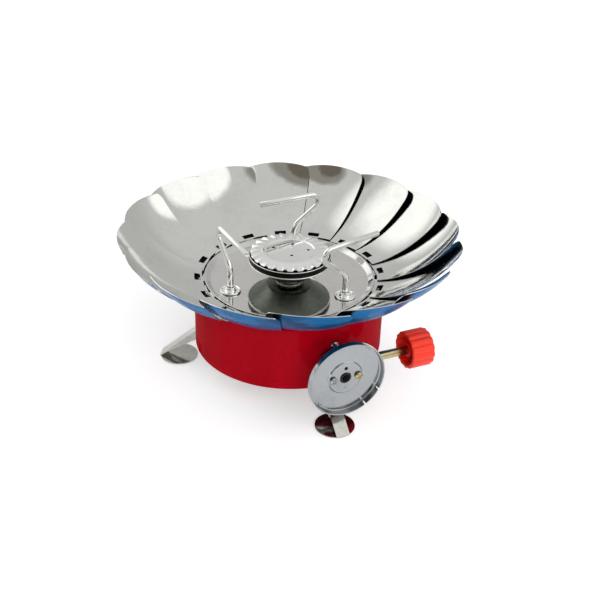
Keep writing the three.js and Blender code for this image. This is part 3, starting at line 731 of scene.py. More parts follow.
def knob_plastic(name, colour, roughness):
    """Moulded plastic with a fine sparked grain."""
    deep_share = 0.86

    def recipe(nodes):
        place = nodes.place()
        height = nodes.group(grain(), {"Place": place, "Scale": 1500.0})
        marks = nodes.group(smudges(), {"Place": place, "Scale": 70.0})
        deep = [deep_share * c for c in colour]
        return {
            "Base Color": nodes.mix(marks, (*colour, 1), (*deep, 1)),
            "Roughness": nodes.math("MULTIPLY_ADD", height, 0.15, roughness),
            "Subsurface Weight": 0.08,
            "Subsurface Scale": 0.002,
            "Normal": nodes.bump(height, 0.00006, 0.6),
        }

    return finish(name, recipe)


# Pieces


def plate_screw_places():
    """Places of the two wall screws beside the inlet, as (sideways, up) from its axis."""
    reach = 0.0101
    turns = [math.radians(turn) for turn in (67, -23)]
    return [(reach * math.cos(t), reach * math.sin(t)) for t in turns]


class BuildDrum(bpy.types.Operator):
    """Lacquered drum, open below, with a notch for each leg"""

    bl_idname = "stove.build_drum"
    bl_label = "Drum"

    row_rise = 0.004
    row_count = 10
    ledge_width = 0.0064
    notch_width_share = 0.7
    notch_rise = 0.001
    notch_corner = 0.0015
    inlet_radius = 0.0059

    def execute(self, context):
        sizes = context.scene.stove_drum
        wall, corner = sizes.wall, sizes.corner
        inner = DRUM_RADIUS - wall
        ledge = PIVOT_RADIUS + self.ledge_width
        rows = [(DRUM_RADIUS, DRUM_BOTTOM + self.row_rise * k, 0) for k in range(1, self.row_count + 1)]
        drum = turned(
            [
                (inner, DRUM_BOTTOM, EDGE),
                (DRUM_RADIUS, DRUM_BOTTOM, EDGE),
                *rows,
                (DRUM_RADIUS, DRUM_TOP, corner),
                (ledge, DRUM_TOP, EDGE),
                (ledge, DRUM_TOP - wall, EDGE),
                (inner, DRUM_TOP - wall, corner - wall),
            ],
            sides=192,
            steps=6,
        )
        cutters = around(3, lambda: self.notch(4 * corner))
        outside = DRUM_RADIUS + OVERRUN
        cutters.append(moved(bar(self.inlet_radius, inner - OVERRUN, outside), INLET_FRAME))
        for x, z in plate_screw_places():
            hole = moved(bar(SCREW_BORE, inner - 2 * OVERRUN, outside), shift(x, z))
            cutters.append(moved(hole, INLET_FRAME))
        drum = combine(drum, cutters)
        # Painted shade: the top under the petals gets the black material instead of the red lacquer.
        covered, cover = DRUM_TOP - wall - GAP, HINGE_RADIUS + SLOT_LENGTH
        paint_where(drum, lambda centre: centre.z > covered and centre.to_2d().length < cover)
        finishes = [red_lacquer(sizes.lacquer), painted_shade_black()]
        piece("lacquered_drum", drum, finishes, "drum_shell")
        return {"FINISHED"}

    def notch(self, depth):
        half = LEG_WIDTH * self.notch_width_share
        top, corner = LEG_HINGE_HEIGHT + self.notch_rise, self.notch_corner
        outline = fillet([(-half, 0, 0), (half, 0, 0), (half, top, corner), (-half, top, corner)])
        return moved(slab(outline, depth), shift(y=-DRUM_RADIUS))


class BuildTray(bpy.types.Operator):
    """Polished tray with its raised lip, a hook for each petal and a black sheet below their roots; the
    sheet and the hooks' outer parts are painted shade
    """

    bl_idname = "stove.build_tray"
    bl_label = "Tray"

    lip_width = 0.0018
    lip_crown = 0.0008
    lip_foot = 0.0009
    lip_inset = 0.0006
    shade_sheet_width = 0.0109
    shade_sheet_thickness = 0.0005
    shade_sheet_drop = 0.0006
    hook_width = 0.0072
    hook_reach = 0.0044
    hook_drop = 0.0021
    hook_tip = 0.001
    hook_corner = 0.0006
    pivot_bore = 0.0024

    def execute(self, context):
        count = context.scene.stove_petals.count
        under = TRAY_FLOOR - TRAY_SHEET
        bore = NECK_RADIUS + GAP
        wall = LIP_RADIUS - self.lip_inset
        # flange is the black sheet of painted shade under the petals' roots.
        flange, flange_top = LIP_RADIUS + self.shade_sheet_width, LIP_TOP - self.shade_sheet_drop
        tray = turned(
            [
                (bore, under, 0),
                (HINGE_RADIUS, under, 0),
                (flange, flange_top - self.shade_sheet_thickness, EDGE),
                (flange, flange_top, EDGE),
                (HINGE_RADIUS, under + self.shade_sheet_thickness, 0),
                (wall, under + self.shade_sheet_thickness, 0),
                (wall, LIP_TOP, EDGE),
                (LIP_RADIUS - self.lip_width, LIP_TOP, self.lip_crown),
                (FLOOR_RADIUS, TRAY_FLOOR, self.lip_foot),
                (bore, TRAY_FLOOR, 0),
            ],
            sides=192,
            steps=5,
        )
        tray = combine(tray, around(count, lambda: self.hook(wall), FIRST_PETAL), "UNION")
        tray = combine(tray, around(3, lambda: self.pivot_hole(under), FIRST_SUPPORT))
        # Painted shade: the hooks and the sheet beyond the hinge get the black material.
        paint_where(tray, lambda centre: centre.to_2d().length > HINGE_RADIUS + GAP)
        piece("polished_tray", tray, [tray_steel(), painted_shade_black()], "burner_tray")
        return {"FINISHED"}

    def hook(self, wall):
        """Bent tongue that starts inside the lip and passes through a petal's slot."""
        end, low_side = LIP_RADIUS + self.hook_reach, LIP_TOP - self.hook_drop
        tip = LIP_TOP - self.hook_tip
        outline = [
            (wall - TRAY_SHEET, LIP_TOP - TRAY_SHEET / 2, 0),
            (wall - TRAY_SHEET, low_side, EDGE),
            (end, low_side, self.hook_corner),
            (end, tip, EDGE),
            (end - TRAY_SHEET, tip, EDGE),
            (end - TRAY_SHEET, low_side + TRAY_SHEET, EDGE),
            (wall, low_side + TRAY_SHEET, 0),
            (wall, LIP_TOP - TRAY_SHEET / 2, 0),
        ]
        return slab(fillet(outline, 2), self.hook_width)

    def pivot_hole(self, under):
        return moved(bar(self.pivot_bore, under - OVERRUN, LIP_TOP), shift(x=PIVOT_RADIUS))


class BuildPetals(bpy.types.Operator):
    """Petals of the windshield: one bent sheet, mirror inside and blue film outside"""

    bl_idname = "stove.build_petals"
    bl_label = "Petals"

    corner_length_share = 0.12
    corner_width_share = 0.14
    lap_width_share = 1.07
    flat_start_share = 0.3
    shoulder_relief = 0.0016
    base_lift = 0.0006
    rim_lift = 0.0019
    tail = 0.0007
    row_count = 30
    column_count = 12

    def execute(self, context):
        sizes = context.scene.stove_petals
        faces = [petal_steel(), blue_film(sizes.film)]
        sheets = around(sizes.count, lambda: self.sheet(sizes), FIRST_PETAL)
        for i, sheet in enumerate(sheets, 1):
            piece(f"windshield_{i:02d}", sheet, faces, f"petal_{i:02d}", smooth=50)
        return {"FINISHED"}

    def point(self, sizes, column, length, lift):
        """Point of the bent sheet: column from -1 to 1 across, length along, lift off its middle."""
        start = sizes.base_slope
        along = max(0, length / self.curve(sizes))
        past = max(0, 1 + (along - 1) / self.corner_length_share)
        narrow = 1 - self.corner_width_share * (1 - math.sqrt(max(0, 1 - past * past)))
        shortened = length - sizes.scallop * column * column * along
        if length < 0:
            shortened += self.shoulder_relief * max(0, column)
        slope = start + max(0, shortened) / sizes.bend
        before = min(0, shortened)
        raised = (self.base_lift + (self.rim_lift - self.base_lift) * along) * column + lift
        radius = HINGE_RADIUS + before * math.cos(start) - raised * math.sin(slope)
        radius += sizes.bend * (math.sin(slope) - math.sin(start))
        height = HINGE_HEIGHT + before * math.sin(start) + raised * math.cos(slope)
        height += sizes.bend * (math.cos(start) - math.cos(slope))
        wide = 1 + (self.lap_width_share - 1) * max(0, column) * min(1, along)
        turn = -column * narrow * wide * sizes.half_angle
        flat = sizes.flatness * min(1, along / self.flat_start_share)
        return radius * (math.cos(turn) + flat * (1 - math.cos(turn))), radius * math.sin(turn), height

    def curve(self, sizes):
        """Length of the bent sheet from its hinge to its rim."""
        end = math.asin(sizes.reach / sizes.bend + math.sin(sizes.base_slope))
        return sizes.bend * (end - sizes.base_slope)

    def rows(self, sizes):
        """Places of the rows along the sheet, closer together near the rim."""
        slot_end = SLOT_INSET + SLOT_LENGTH
        rest = self.curve(sizes) - slot_end
        rows = [-self.tail, 0, SLOT_INSET, SLOT_INSET + SLOT_LENGTH / 2, slot_end]
        for k in range(1, self.row_count + 1):
            rows.append(slot_end + rest * math.sin(math.pi / 2 * k / self.row_count))
        return rows

    def columns(self, sizes):
        """Places of the columns across the sheet, with one at each side of the slot."""
        slot_radius = HINGE_RADIUS + (SLOT_INSET + SLOT_LENGTH) / 2
        slot_share = math.atan(SLOT_WIDTH / 2 / slot_radius) / sizes.half_angle
        count = self.column_count
        side = [slot_share + (1 - slot_share) * k / count for k in range(count + 1)]
        return [-c for c in reversed(side)] + [0] + side

    def sheet(self, sizes):
        """Closed sheet with a slot; the film's material is below, and lap is 1 at the edge where the petals
        lap, which the film darkens as painted shade.
        """
        rows, columns = self.rows(sizes), self.columns(sizes)
        slot_rows, slot_columns = (2, 3), (self.column_count, self.column_count + 1)
        bm = bmesh.new()
        lap = bm.verts.layers.float.new("lap")
        grids = []
        for side, lift in enumerate((sizes.sheet / 2, -sizes.sheet / 2)):
            grid = [[bm.verts.new(self.point(sizes, c, r, lift)) for c in columns] for r in rows]
            for row in grid:
                for vert, column in zip(row, columns):
                    vert[lap] = column
            for r in range(len(rows) - 1):
                for c in range(len(columns) - 1):
                    if r in slot_rows and c in slot_columns:
                        continue
                    quad = [grid[r][c], grid[r][c + 1], grid[r + 1][c + 1], grid[r + 1][c]]
                    face = bm.faces.new(quad[::-1] if side else quad)
                    face.material_index = side
            grids.append(grid)
        pairs = {a: b for one, two in zip(*grids) for a, b in zip(one, two)}
        for edge in [e for e in bm.edges if len(e.link_faces) == 1 and e.verts[0] in pairs]:
            a, b = edge.verts
            bm.faces.new((a, b, pairs[b], pairs[a]))
        bmesh.ops.delete(bm, geom=[v for v in bm.verts if not v.link_faces], context="VERTS")
        bmesh.ops.recalc_face_normals(bm, faces=bm.faces)
        return bm


class BuildSupports(bpy.types.Operator):
    """Wire pot supports with their collars and clips"""

    bl_idname = "stove.build_supports"
    bl_label = "Pot Supports"

    post_height = 0.0186
    elbow_reach = 0.0332
    tip_reach = 0.0279
    chamfer = 0.0003
    bend_steps = 16
    rim, rim_inside, rim_rise = 0.0075, 0.0064, 0.001
    pan_outside, pan_inside, pan_rise = 0.0058, 0.0044, 0.0006
    neck, neck_foot, neck_rise = 0.0036, 0.0012, 0.0034
    clip_radius, clip_height = 0.0054, 0.0016

    def execute(self, context):
        sizes = context.scene.stove_supports
        bore = sizes.wire + GAP
        for i in range(3):
            azimuth = FIRST_SUPPORT + math.tau * i / 3
            place = turn_z(azimuth) @ shift(x=PIVOT_RADIUS) @ turn_z(SUPPORT_TURNS[i])
            wire = moved(self.wire(sizes), place)
            node = f"pot_support_{i + 1}"
            piece(f"wire_arm_{i + 1}", wire, [wire_steel()], node, smooth=50)
            collar = moved(self.collar(bore), place)
            piece(f"arm_collar_{i + 1}", collar, [wire_steel()], f"support_collar_{i + 1}")
            clip = moved(self.clip(bore), place)
            piece(f"arm_clip_{i + 1}", clip, [bracket_steel()], f"support_clip_{i + 1}")
        return {"FINISHED"}

    def wire(self, sizes):
        """Post, slanted rise and level arm of one wire, with a chamfer at both ends."""
        arm = high("pot_support_1").z - sizes.wire * math.cos(math.pi / 8)
        foot = low("pot_support_1").z
        route = [
            (0, foot, 0),
            (0, TRAY_FLOOR + self.post_height, sizes.elbow),
            (-self.elbow_reach, arm, sizes.bend),
            (self.tip_reach, arm, 0),
        ]
        points = fillet(route, self.bend_steps)
        points.insert(1, (0, foot + self.chamfer))
        points.insert(-1, (points[-1][0] - self.chamfer, arm))
        radii = [sizes.wire] * len(points)
        radii[0] = radii[-1] = sizes.wire - self.chamfer
        return sweep(points, radii, 24)

    def collar(self, bore):
        bottom = TRAY_FLOOR + GAP
        rim_top, pan, top = bottom + self.rim_rise, bottom + self.pan_rise, bottom + self.neck_rise
        return turned(
            [
                (bore, bottom, 0),
                (self.rim, bottom, EDGE),
                (self.rim, rim_top, ROUND_EDGE),
                (self.rim_inside, rim_top, SOFT_EDGE),
                (self.pan_outside, pan, SOFT_EDGE),
                (self.pan_inside, pan, ROUND_EDGE),
                (self.neck, bottom + self.neck_foot, ROUND_EDGE),
                (self.neck, top, ROUND_EDGE),
                (bore, top, EDGE),
            ],
            sides=48,
        )

    def clip(self, bore):
        top = TRAY_FLOOR - TRAY_SHEET - GAP
        bottom, radius = top - self.clip_height, self.clip_radius
        return turned(
            [(bore, bottom, EDGE), (radius, bottom, SOFT_EDGE), (radius, top, SOFT_EDGE), (bore, top, EDGE)]
        )


class BuildLegs(bpy.types.Operator):
    """Folding legs with their round feet and hinge pins"""

    bl_idname = "stove.build_legs"
    bl_label = "Legs"

    sheet = 0.001
    web_offset = 0.0052
    web_lead = 0.0008
    knuckle = 0.0042
    knuckle_steps = 12
    leg_bevel = 0.00015
    pin_bore = 0.0018
    pin_radius = 0.0015
    pin_length = 0.0138
    pin_head, pin_head_height = 0.0026, 0.001
    ground_width, ground_depth, ground_place = 0.3, 0.1, 0.1

    def execute(self, context):
        first = math.radians(-90)
        legs, pins = around(3, self.leg, first), around(3, self.pin, first)
        for i in range(3):
            name = f"leg_{i + 1}"
            piece(f"folding_{name}", legs[i], [leg_steel()], name, bevel=self.leg_bevel)
            piece(f"hinge_pin_{i + 1}", pins[i], [zinc_plate("Z")], f"leg_pin_{i + 1}")
            repaint(frame["nodes"][f"leg_bracket_{i + 1}"], bracket_steel())
        return {"FINISHED"}

    def leg(self):
        """Folded channel from the hinge down to its round foot, cut off at the ground."""
        sheet, offset, knuckle = self.sheet, self.web_offset, self.knuckle
        reach, rise = LEG_TIP - LEG_HINGE_RADIUS, LEG_HINGE_HEIGHT - sheet
        run = math.hypot(reach, rise)
        tilt = math.atan2(rise, reach) + math.asin(offset / run)
        length = math.sqrt(run * run - offset * offset)
        hinge = shift(LEG_HINGE_RADIUS, 0, LEG_HINGE_HEIGHT) @ Matrix.Rotation(tilt, 4, "Y")
        inner = offset - sheet
        web = [(-self.web_lead, inner), (length, inner), (length, offset), (-self.web_lead, offset)]
        parts = [moved(slab(web, LEG_WIDTH), hinge)]
        turns = [math.pi + math.pi / 2 * k / self.knuckle_steps for k in range(self.knuckle_steps + 1)]
        arc = [(knuckle * math.cos(t), knuckle * math.sin(t)) for t in turns]
        end = length - FOOT_RADIUS / 2
        flange = [*arc, (end, inner), (end, offset), (-knuckle, offset)]
        for side in (1, -1):
            across = side * (LEG_WIDTH - sheet) / 2
            parts.append(moved(moved(slab(flange, sheet), shift(y=across)), hinge))
        foot = bar(FOOT_RADIUS, 0, sheet, sides=72, chamfer=FINE_EDGE)
        leg = combine(moved(foot, shift(x=LEG_TIP - FOOT_RADIUS)), parts, "UNION")
        ground = box(self.ground_width, self.ground_width, self.ground_depth)
        ground = moved(ground, shift(x=self.ground_place, z=-self.ground_depth / 2))
        hole = bar(self.pin_bore, -LEG_WIDTH, LEG_WIDTH, sides=32)
        return combine(leg, [ground, self.across_hinge(hole)])

    def pin(self):
        half = self.pin_length / 2
        end = half + self.pin_head_height
        right = [
            (self.pin_radius, half, 0),
            (self.pin_head, half, FINE_EDGE),
            (self.pin_head, end, FULL_EDGE),
            (0, end, 0),
        ]
        left = [(radius, -height, corner) for radius, height, corner in reversed(right)]
        return self.across_hinge(turned(left + right, sides=32))

    def across_hinge(self, bm):
        """Puts a shape along Z into the hinge of the leg, along Y."""
        bm = moved(bm, Matrix.Rotation(math.radians(90), 4, "X"))
        return moved(bm, shift(LEG_HINGE_RADIUS, 0, LEG_HINGE_HEIGHT))


def repaint(obj, material):
    """Puts one material on a node that keeps its own mesh."""
    for place in obj.material_slots:
        place.material = material
    if not obj.material_slots:
        obj.data.materials.append(material)


class BuildBurner(bpy.types.Operator):
    """Mixer tube and nut, dark cup, ring and fluted cap"""

    bl_idname = "stove.build_burner"
    bl_label = "Burner"

    nut_width, nut_height, nut_bevel = 0.022, 0.005, 0.0003
    rim_overlap = 0.0052
    tube_bore, tube_crown = 0.0055, 0.0009
    tube_flange, tube_flange_edge = 0.004, 0.0012
    bright_edge_width = 0.0012
    air_hole, air_hole_rise, air_hole_reach = 0.0022, 0.004, 0.011
    cup_floor_rise, cup_floor_radius, cup_bend = 0.0055, 0.0165, 0.003
    cup_sheet, cup_rim_growth, cup_rim_step = 0.001, 0.0004, 0.0009
    ring_growth, groove = 0.0005, 0.0004
    groove_rises = (0.0016, 0.0018, 0.0022, 0.0024)
    cap_sheet, cap_rim_setback = 0.0008, 0.0006
    plate, plate_step, plate_drop = 0.0173, 0.001, 0.0005
    flute_length, flute_rows, flute_steps = 0.0097, 8, 16
    flank_share, arch_power, far_power, near_power = 0.66, 0.6, 0.6, 5.0
    far_side = math.radians(65)
    hole_radius = 0.0011
    hole_shares = ((0.1, 0.62), (-0.72, 0.24), (0.76, 0.12), (0.08, -0.42))

    def execute(self, context):
        sizes = context.scene.stove_burner
        piece("mixer_neck", self.tube(), [neck_steel()], "mixer_tube")
        nut_top = TRAY_FLOOR - TRAY_SHEET - GAP
        nut = hexagon(self.nut_width, nut_top - self.nut_height, nut_top)
        nut = combine(nut, [bar(NECK_RADIUS + GAP, 0, LIP_TOP, sides=48)])
        piece("tray_nut", nut, [zinc_plate("Z")], "burner_nut", bevel=self.nut_bevel)
        bowl = self.cup()
        # The rim edges get the bright cap metal.
        bright_edge(bowl, CUP_RADIUS - FULL_EDGE, CUP_RIM - self.cup_sheet)
        piece("burner_bowl", bowl, [cup_steel(), cap_steel()], "burner_cup")
        band = self.band()
        bright_edge(band, RING_RADIUS - self.bright_edge_width, RING_TOP - ROUND_EDGE)
        piece("flame_ring", band, [ring_steel(), cap_steel()], "burner_ring")
        cap = self.cap(sizes)
        piece("fluted_cap", cap, [cap_steel(), painted_shade_black()], "burner_cap", smooth=28)
        return {"FINISHED"}

    def tube(self):
        """Neck with a flange on the tray and four air holes near its foot."""
        bottom, top = low("mixer_tube").z, high("mixer_tube").z
        seat, flange_radius = TRAY_FLOOR + GAP, high("mixer_tube").x
        flange_top = seat + self.tube_flange
        tube = turned(
            [
                (self.tube_bore, bottom, SOFT_EDGE),
                (NECK_RADIUS, bottom, ROUND_EDGE),
                (NECK_RADIUS, seat, 0),
                (flange_radius, seat, ROUND_EDGE),
                (flange_radius, flange_top - self.tube_flange_edge, 2 * ROUND_EDGE),
                (NECK_RADIUS + 2 * SOFT_EDGE, flange_top, self.tube_crown),
                (NECK_RADIUS, top, FULL_EDGE),
                (self.tube_bore, top, SOFT_EDGE),
            ],
            sides=64,
            steps=6,
        )
        holes = []
        for turn in (0, math.pi / 2):
            hole = bar(self.air_hole, -self.air_hole_reach, self.air_hole_reach, sides=32)
            hole = moved(moved(hole, Matrix.Rotation(math.pi / 2, 4, "Y")), turn_z(turn))
            holes.append(moved(hole, shift(z=bottom + self.air_hole_rise)))
        return combine(tube, holes)

    def cup(self):
        """Dark cone whose rim is rolled over, out to the rim and in under the ring."""
        bore, floor = NECK_RADIUS + GAP, TRAY_FLOOR + self.cup_floor_rise
        sheet, rim = self.cup_sheet, CUP_RADIUS + self.cup_rim_growth
        return turned(
            [
                (bore, floor - sheet, 0),
                (self.cup_floor_radius, floor - sheet, self.cup_bend),
                (CUP_RADIUS - self.cup_rim_step, CUP_RIM - sheet, EDGE),
                (rim, CUP_RIM - sheet, FULL_EDGE),
                (rim, CUP_RIM, FULL_EDGE),
                (RING_RADIUS - self.rim_overlap, CUP_RIM, FULL_EDGE),
                (self.cup_floor_radius, floor + sheet / 2, self.cup_bend),
                (bore, floor + sheet / 2, 0),
            ],
            sides=160,
            steps=6,
        )

    def band(self):
        """Ring of the flame ports, with one groove round its outside."""
        inner, outer = RING_RADIUS - self.rim_overlap, RING_RADIUS + self.ring_growth
        bottom = low("burner_ring").z
        depths = (0, self.groove, self.groove, 0)
        grooved = [(outer - d, bottom + rise, FINE_EDGE) for d, rise in zip(depths, self.groove_rises)]
        return turned(
            [
                (inner, bottom, EDGE),
                (outer, bottom, SOFT_EDGE),
                *grooved,
                (outer, RING_TOP, ROUND_EDGE),
                (inner, RING_TOP, EDGE),
            ],
            sides=160,
        )

    def cap(self, sizes):
        """Sheet cap whose rim is pressed into flutes, with a flat plate and four holes in the middle."""
        rim = RING_RADIUS - self.cap_rim_setback
        shoulder = rim - self.flute_length
        bm = lathe(fillet(self.cap_outline(rim, shoulder), 3), sizes.flutes * self.flute_steps)
        for vert in bm.verts:
            share = max(0, (math.hypot(vert.co.x, vert.co.y) - shoulder) / self.flute_length)
            angle = math.atan2(vert.co.y, vert.co.x)
            vert.co.z += sizes.flute_rise * self.flute(sizes, angle, share)
        turn = turn_z(self.far_side - math.pi / 2)
        plate = self.plate
        places = [turn @ Vector((right * plate, away * plate, 0)) for right, away in self.hole_shares]
        bottom, top = CAP_TOP - 2 * OVERRUN, CAP_TOP + OVERRUN
        bm = combine(bm, [moved(bar(self.hole_radius, bottom, top), shift(*place)) for place in places])

        def hole_shade(centre):
            level = Vector((centre.x, centre.y, 0))
            nearest = min((level - place).length for place in places)
            return nearest < self.hole_radius and centre.z < CAP_TOP - self.plate_drop

        # Painted shade: the walls of the four holes get the black material.
        paint_where(bm, hole_shade)
        return bm

    def flute(self, sizes, angle, share):
        """Share of a flute's height: facets at the far side of the cap, arches at its near side."""
        near = 0.5 - 0.5 * math.cos(angle - self.far_side)
        pitch = (sizes.flutes * angle / math.tau) % 1
        facet = min(pitch / self.flank_share, (1 - pitch) / (1 - self.flank_share))
        arch = max(0, math.cos(math.tau * (pitch - self.flank_share))) ** self.arch_power
        power = self.far_power + (self.near_power - self.far_power) * near
        return (facet + (arch - facet) * near) * share ** power

    def cap_outline(self, rim, shoulder):
        """Corners of the cap, whose sheet falls in a parabola from the shoulder to the rim."""
        sheet, fall = self.cap_sheet, CAP_TOP - self.cap_sheet - CAP_EDGE
        plate_top, step = CAP_TOP - self.plate_drop, self.plate + self.plate_step
        shares = [k / self.flute_rows for k in range(1, self.flute_rows)]
        slope = [(shoulder + self.flute_length * s, CAP_EDGE + fall * (1 - s * s), 0) for s in shares]
        return [
            (0, plate_top - sheet, 0),
            (self.plate, plate_top - sheet, SOFT_EDGE),
            (step, CAP_TOP - sheet, SOFT_EDGE),
            (shoulder, CAP_TOP - sheet, 0),
            *slope,
            (rim, CAP_EDGE, FINE_EDGE),
            (rim, CAP_EDGE + sheet, SOFT_EDGE),
            *[(x, y + sheet, 0) for x, y, _ in reversed(slope)],
            (shoulder, CAP_TOP, 0),
            (step, CAP_TOP, ROUND_EDGE),
            (self.plate, plate_top, EDGE),
            (0, plate_top, 0),
        ]


def bright_edge(bm, radius, height):
    """Gives the second material to the faces outside a radius and above a height."""
    paint_where(bm, lambda centre: centre.to_2d().length > radius and centre.z > height)


class BuildGasTrain(bpy.types.Operator):
    """Valve block with its nut and screws, pipe, jet and inlet pieces"""

    bl_idname = "stove.build_gas_train"
    bl_label = "Gas Train"

    fine_bevel, bevel, nut_bevel = 0.00015, 0.0002, 0.0003
    gland_width, gland_bore = 0.011, 0.0034
    jet_width, jet_tip, jet_tip_height, jet_bore = 0.008, 0.002, 0.0022, 0.0006
    throat, throat_flange, neck, neck_end = 0.0056, 0.007, 0.0125, 0.005
    wall_depth = 0.0075
    boss, boss_length = 0.0054, 0.021
    stem_bore, stem_bore_start = 0.0023, 0.0042
    packing_bore, packing_start, packing_end = 0.0042, 0.0119, 0.0231
    inlet_bore = 0.0016
    pipe_radius, pipe_bore, pipe_bend, pipe_overrun = 0.0026, 0.0015, 0.005, 0.001
    opener_base, opener_base_height = 0.0034, 0.0012
    opener_tip, opener_height, opener_bore = 0.0019, 0.0026, 0.0006

    def execute(self, context):
        piece("valve_block", self.valve(), [zinc_plate("Y")], "valve_body", bevel=self.fine_bevel)
        start, end = low("gland_nut").x, high("gland_nut").x
        nut = hexagon(self.gland_width, start, end)
        nut = moved(combine(nut, [bar(self.gland_bore, start - OVERRUN, end + OVERRUN)]), SPINDLE_FRAME)
        piece("stem_nut", nut, [brass()], "gland_nut", bevel=self.nut_bevel)
        piece("feed_pipe", self.pipe(), [brass("Z")], "gas_pipe")
        piece("jet_tip", self.jet(), [brass("Z")], "gas_jet", bevel=self.bevel)
        # Painted shade: the opener gets near-black brass.
        piece("inlet_opener", self.opener(), [painted_shade_brass()], "inlet_nipple")
        self.seal("inlet_gasket", "inlet_seal", INLET_FRAME, radius=0.0032, station=0.0967, wire=0.0006)
        self.seal("stem_seal", "spindle_o_ring", SPINDLE_FRAME, radius=0.0031, station=0.013, wire=0.0008)
        for i, (x, z) in enumerate(plate_screw_places(), 1):
            stud = screw_blank(0.0045, SCREW_RISE, crown_share=0.5, crown=0.0007)
            stud = moved(moved(stud, shift(x, z, DRUM_RADIUS + GAP)), INLET_FRAME)
            piece(f"wall_screw_{i}", stud, [zinc_plate("Y")], f"plate_screw_{i}")
        repaint(frame["nodes"]["valve_plate"], bracket_steel())
        return {"FINISHED"}

    def valve(self):
        """Block through the drum wall with a boss for the stem, bored both ways."""
        face, wall = DISH_BACK - GAP, DRUM_RADIUS + GAP
        inside = DRUM_RADIUS - self.wall_depth
        body = turned(
            [
                (0, inside, 0),
                (self.throat, inside, ROUND_EDGE),
                (self.throat, wall, 0),
                (self.throat_flange, wall, FULL_EDGE),
                (self.throat_flange, face - self.neck_end, 2 * FULL_EDGE),
                (self.neck, face - self.neck_end, FULL_EDGE),
                (self.neck, face, FULL_EDGE),
                (0, face, 0),
            ],
            sides=64,
        )
        boss = moved(bar(self.boss, 0, self.boss_length, sides=48), SPINDLE_FRAME)
        body = combine(moved(body, INLET_FRAME), [boss], "UNION")
        cutters = [
            moved(bar(self.stem_bore, self.stem_bore_start, self.boss_length + OVERRUN), SPINDLE_FRAME),
            moved(bar(self.packing_bore, self.packing_start, self.packing_end, sides=32), SPINDLE_FRAME),
            moved(bar(self.inlet_bore, inside - OVERRUN, face + OVERRUN), INLET_FRAME),
        ]
        return combine(body, cutters)

    def jet(self):
        bottom, top = low("gas_jet").z, high("gas_jet").z
        tip = bar(self.jet_tip, bottom + OVERRUN, top, sides=32, chamfer=ROUND_EDGE)
        jet = combine(hexagon(self.jet_width, bottom, top - self.jet_tip_height), [tip], "UNION")
        return combine(jet, [bar(self.jet_bore, bottom - OVERRUN, top + OVERRUN, sides=16)])

    def pipe(self):
        """Bent pipe from the valve to the jet, bored through."""
        start, top, past = -low("gas_pipe").y, high("gas_pipe").z, self.pipe_overrun
        points = fillet([(start, INLET_HEIGHT, 0), (0, INLET_HEIGHT, self.pipe_bend), (0, top, 0)], 10)
        longer = [(start + past, INLET_HEIGHT), *points[1:-1], (0, top + past)]
        pipe = sweep(points, [self.pipe_radius] * len(points), 24)
        bore = sweep(longer, [self.pipe_bore] * len(points), 16)
        return moved(combine(pipe, [bore]), turn_z(math.radians(-90)))

    def opener(self):
        """Stepped pin that opens the canister's valve."""
        back, bore = DISH_BACK, self.opener_bore
        shoulder, tip = back + self.opener_base_height, back + self.opener_height
        outline = [
            (bore, back, 0),
            (self.opener_base, back, FINE_EDGE),
            (self.opener_base, shoulder, EDGE),
            (self.opener_tip, shoulder, EDGE),
            (self.opener_tip, tip, ROUND_EDGE),
            (bore, tip, FINE_EDGE),
        ]
        return moved(turned(outline), INLET_FRAME)

    def seal(self, name, node, matrix, radius, station, wire):
        """Round rubber ring at a station along an axis."""
        turns = [math.tau * k / 16 for k in range(16)]
        outline = [(radius + wire * math.cos(t), station + wire * math.sin(t)) for t in turns]
        piece(name, moved(lathe(outline, 40), matrix), [rubber()], node, smooth=60)


def screw_blank(length, rise, crown_share, crown):
    """Screw with a domed head, along Z from its seat."""
    outline = [
        (0, -length, 0),
        (SCREW_RADIUS, -length, SOFT_EDGE),
        (SCREW_RADIUS, 0, 0),
        (SCREW_HEAD, 0, EDGE),
        (SCREW_HEAD, rise * crown_share, crown),
        (SCREW_HEAD * crown_share, rise, crown + EDGE),
        (0, rise, 0),
    ]
    return turned(outline, steps=6)


def cross_screw(length):
    """Pan-head screw with a cross recess, along Z from its seat."""
    width, depth = 0.0006, 0.002
    slots = []
    for turn in (0, math.pi / 2):
        slot = moved(box(SCREW_HEAD * 1.25, width, depth), shift(z=SCREW_RISE + EDGE))
        slots.append(moved(slot, turn_z(turn)))
    return combine(screw_blank(length, SCREW_RISE, crown_share=0.6, crown=0.0006), slots)


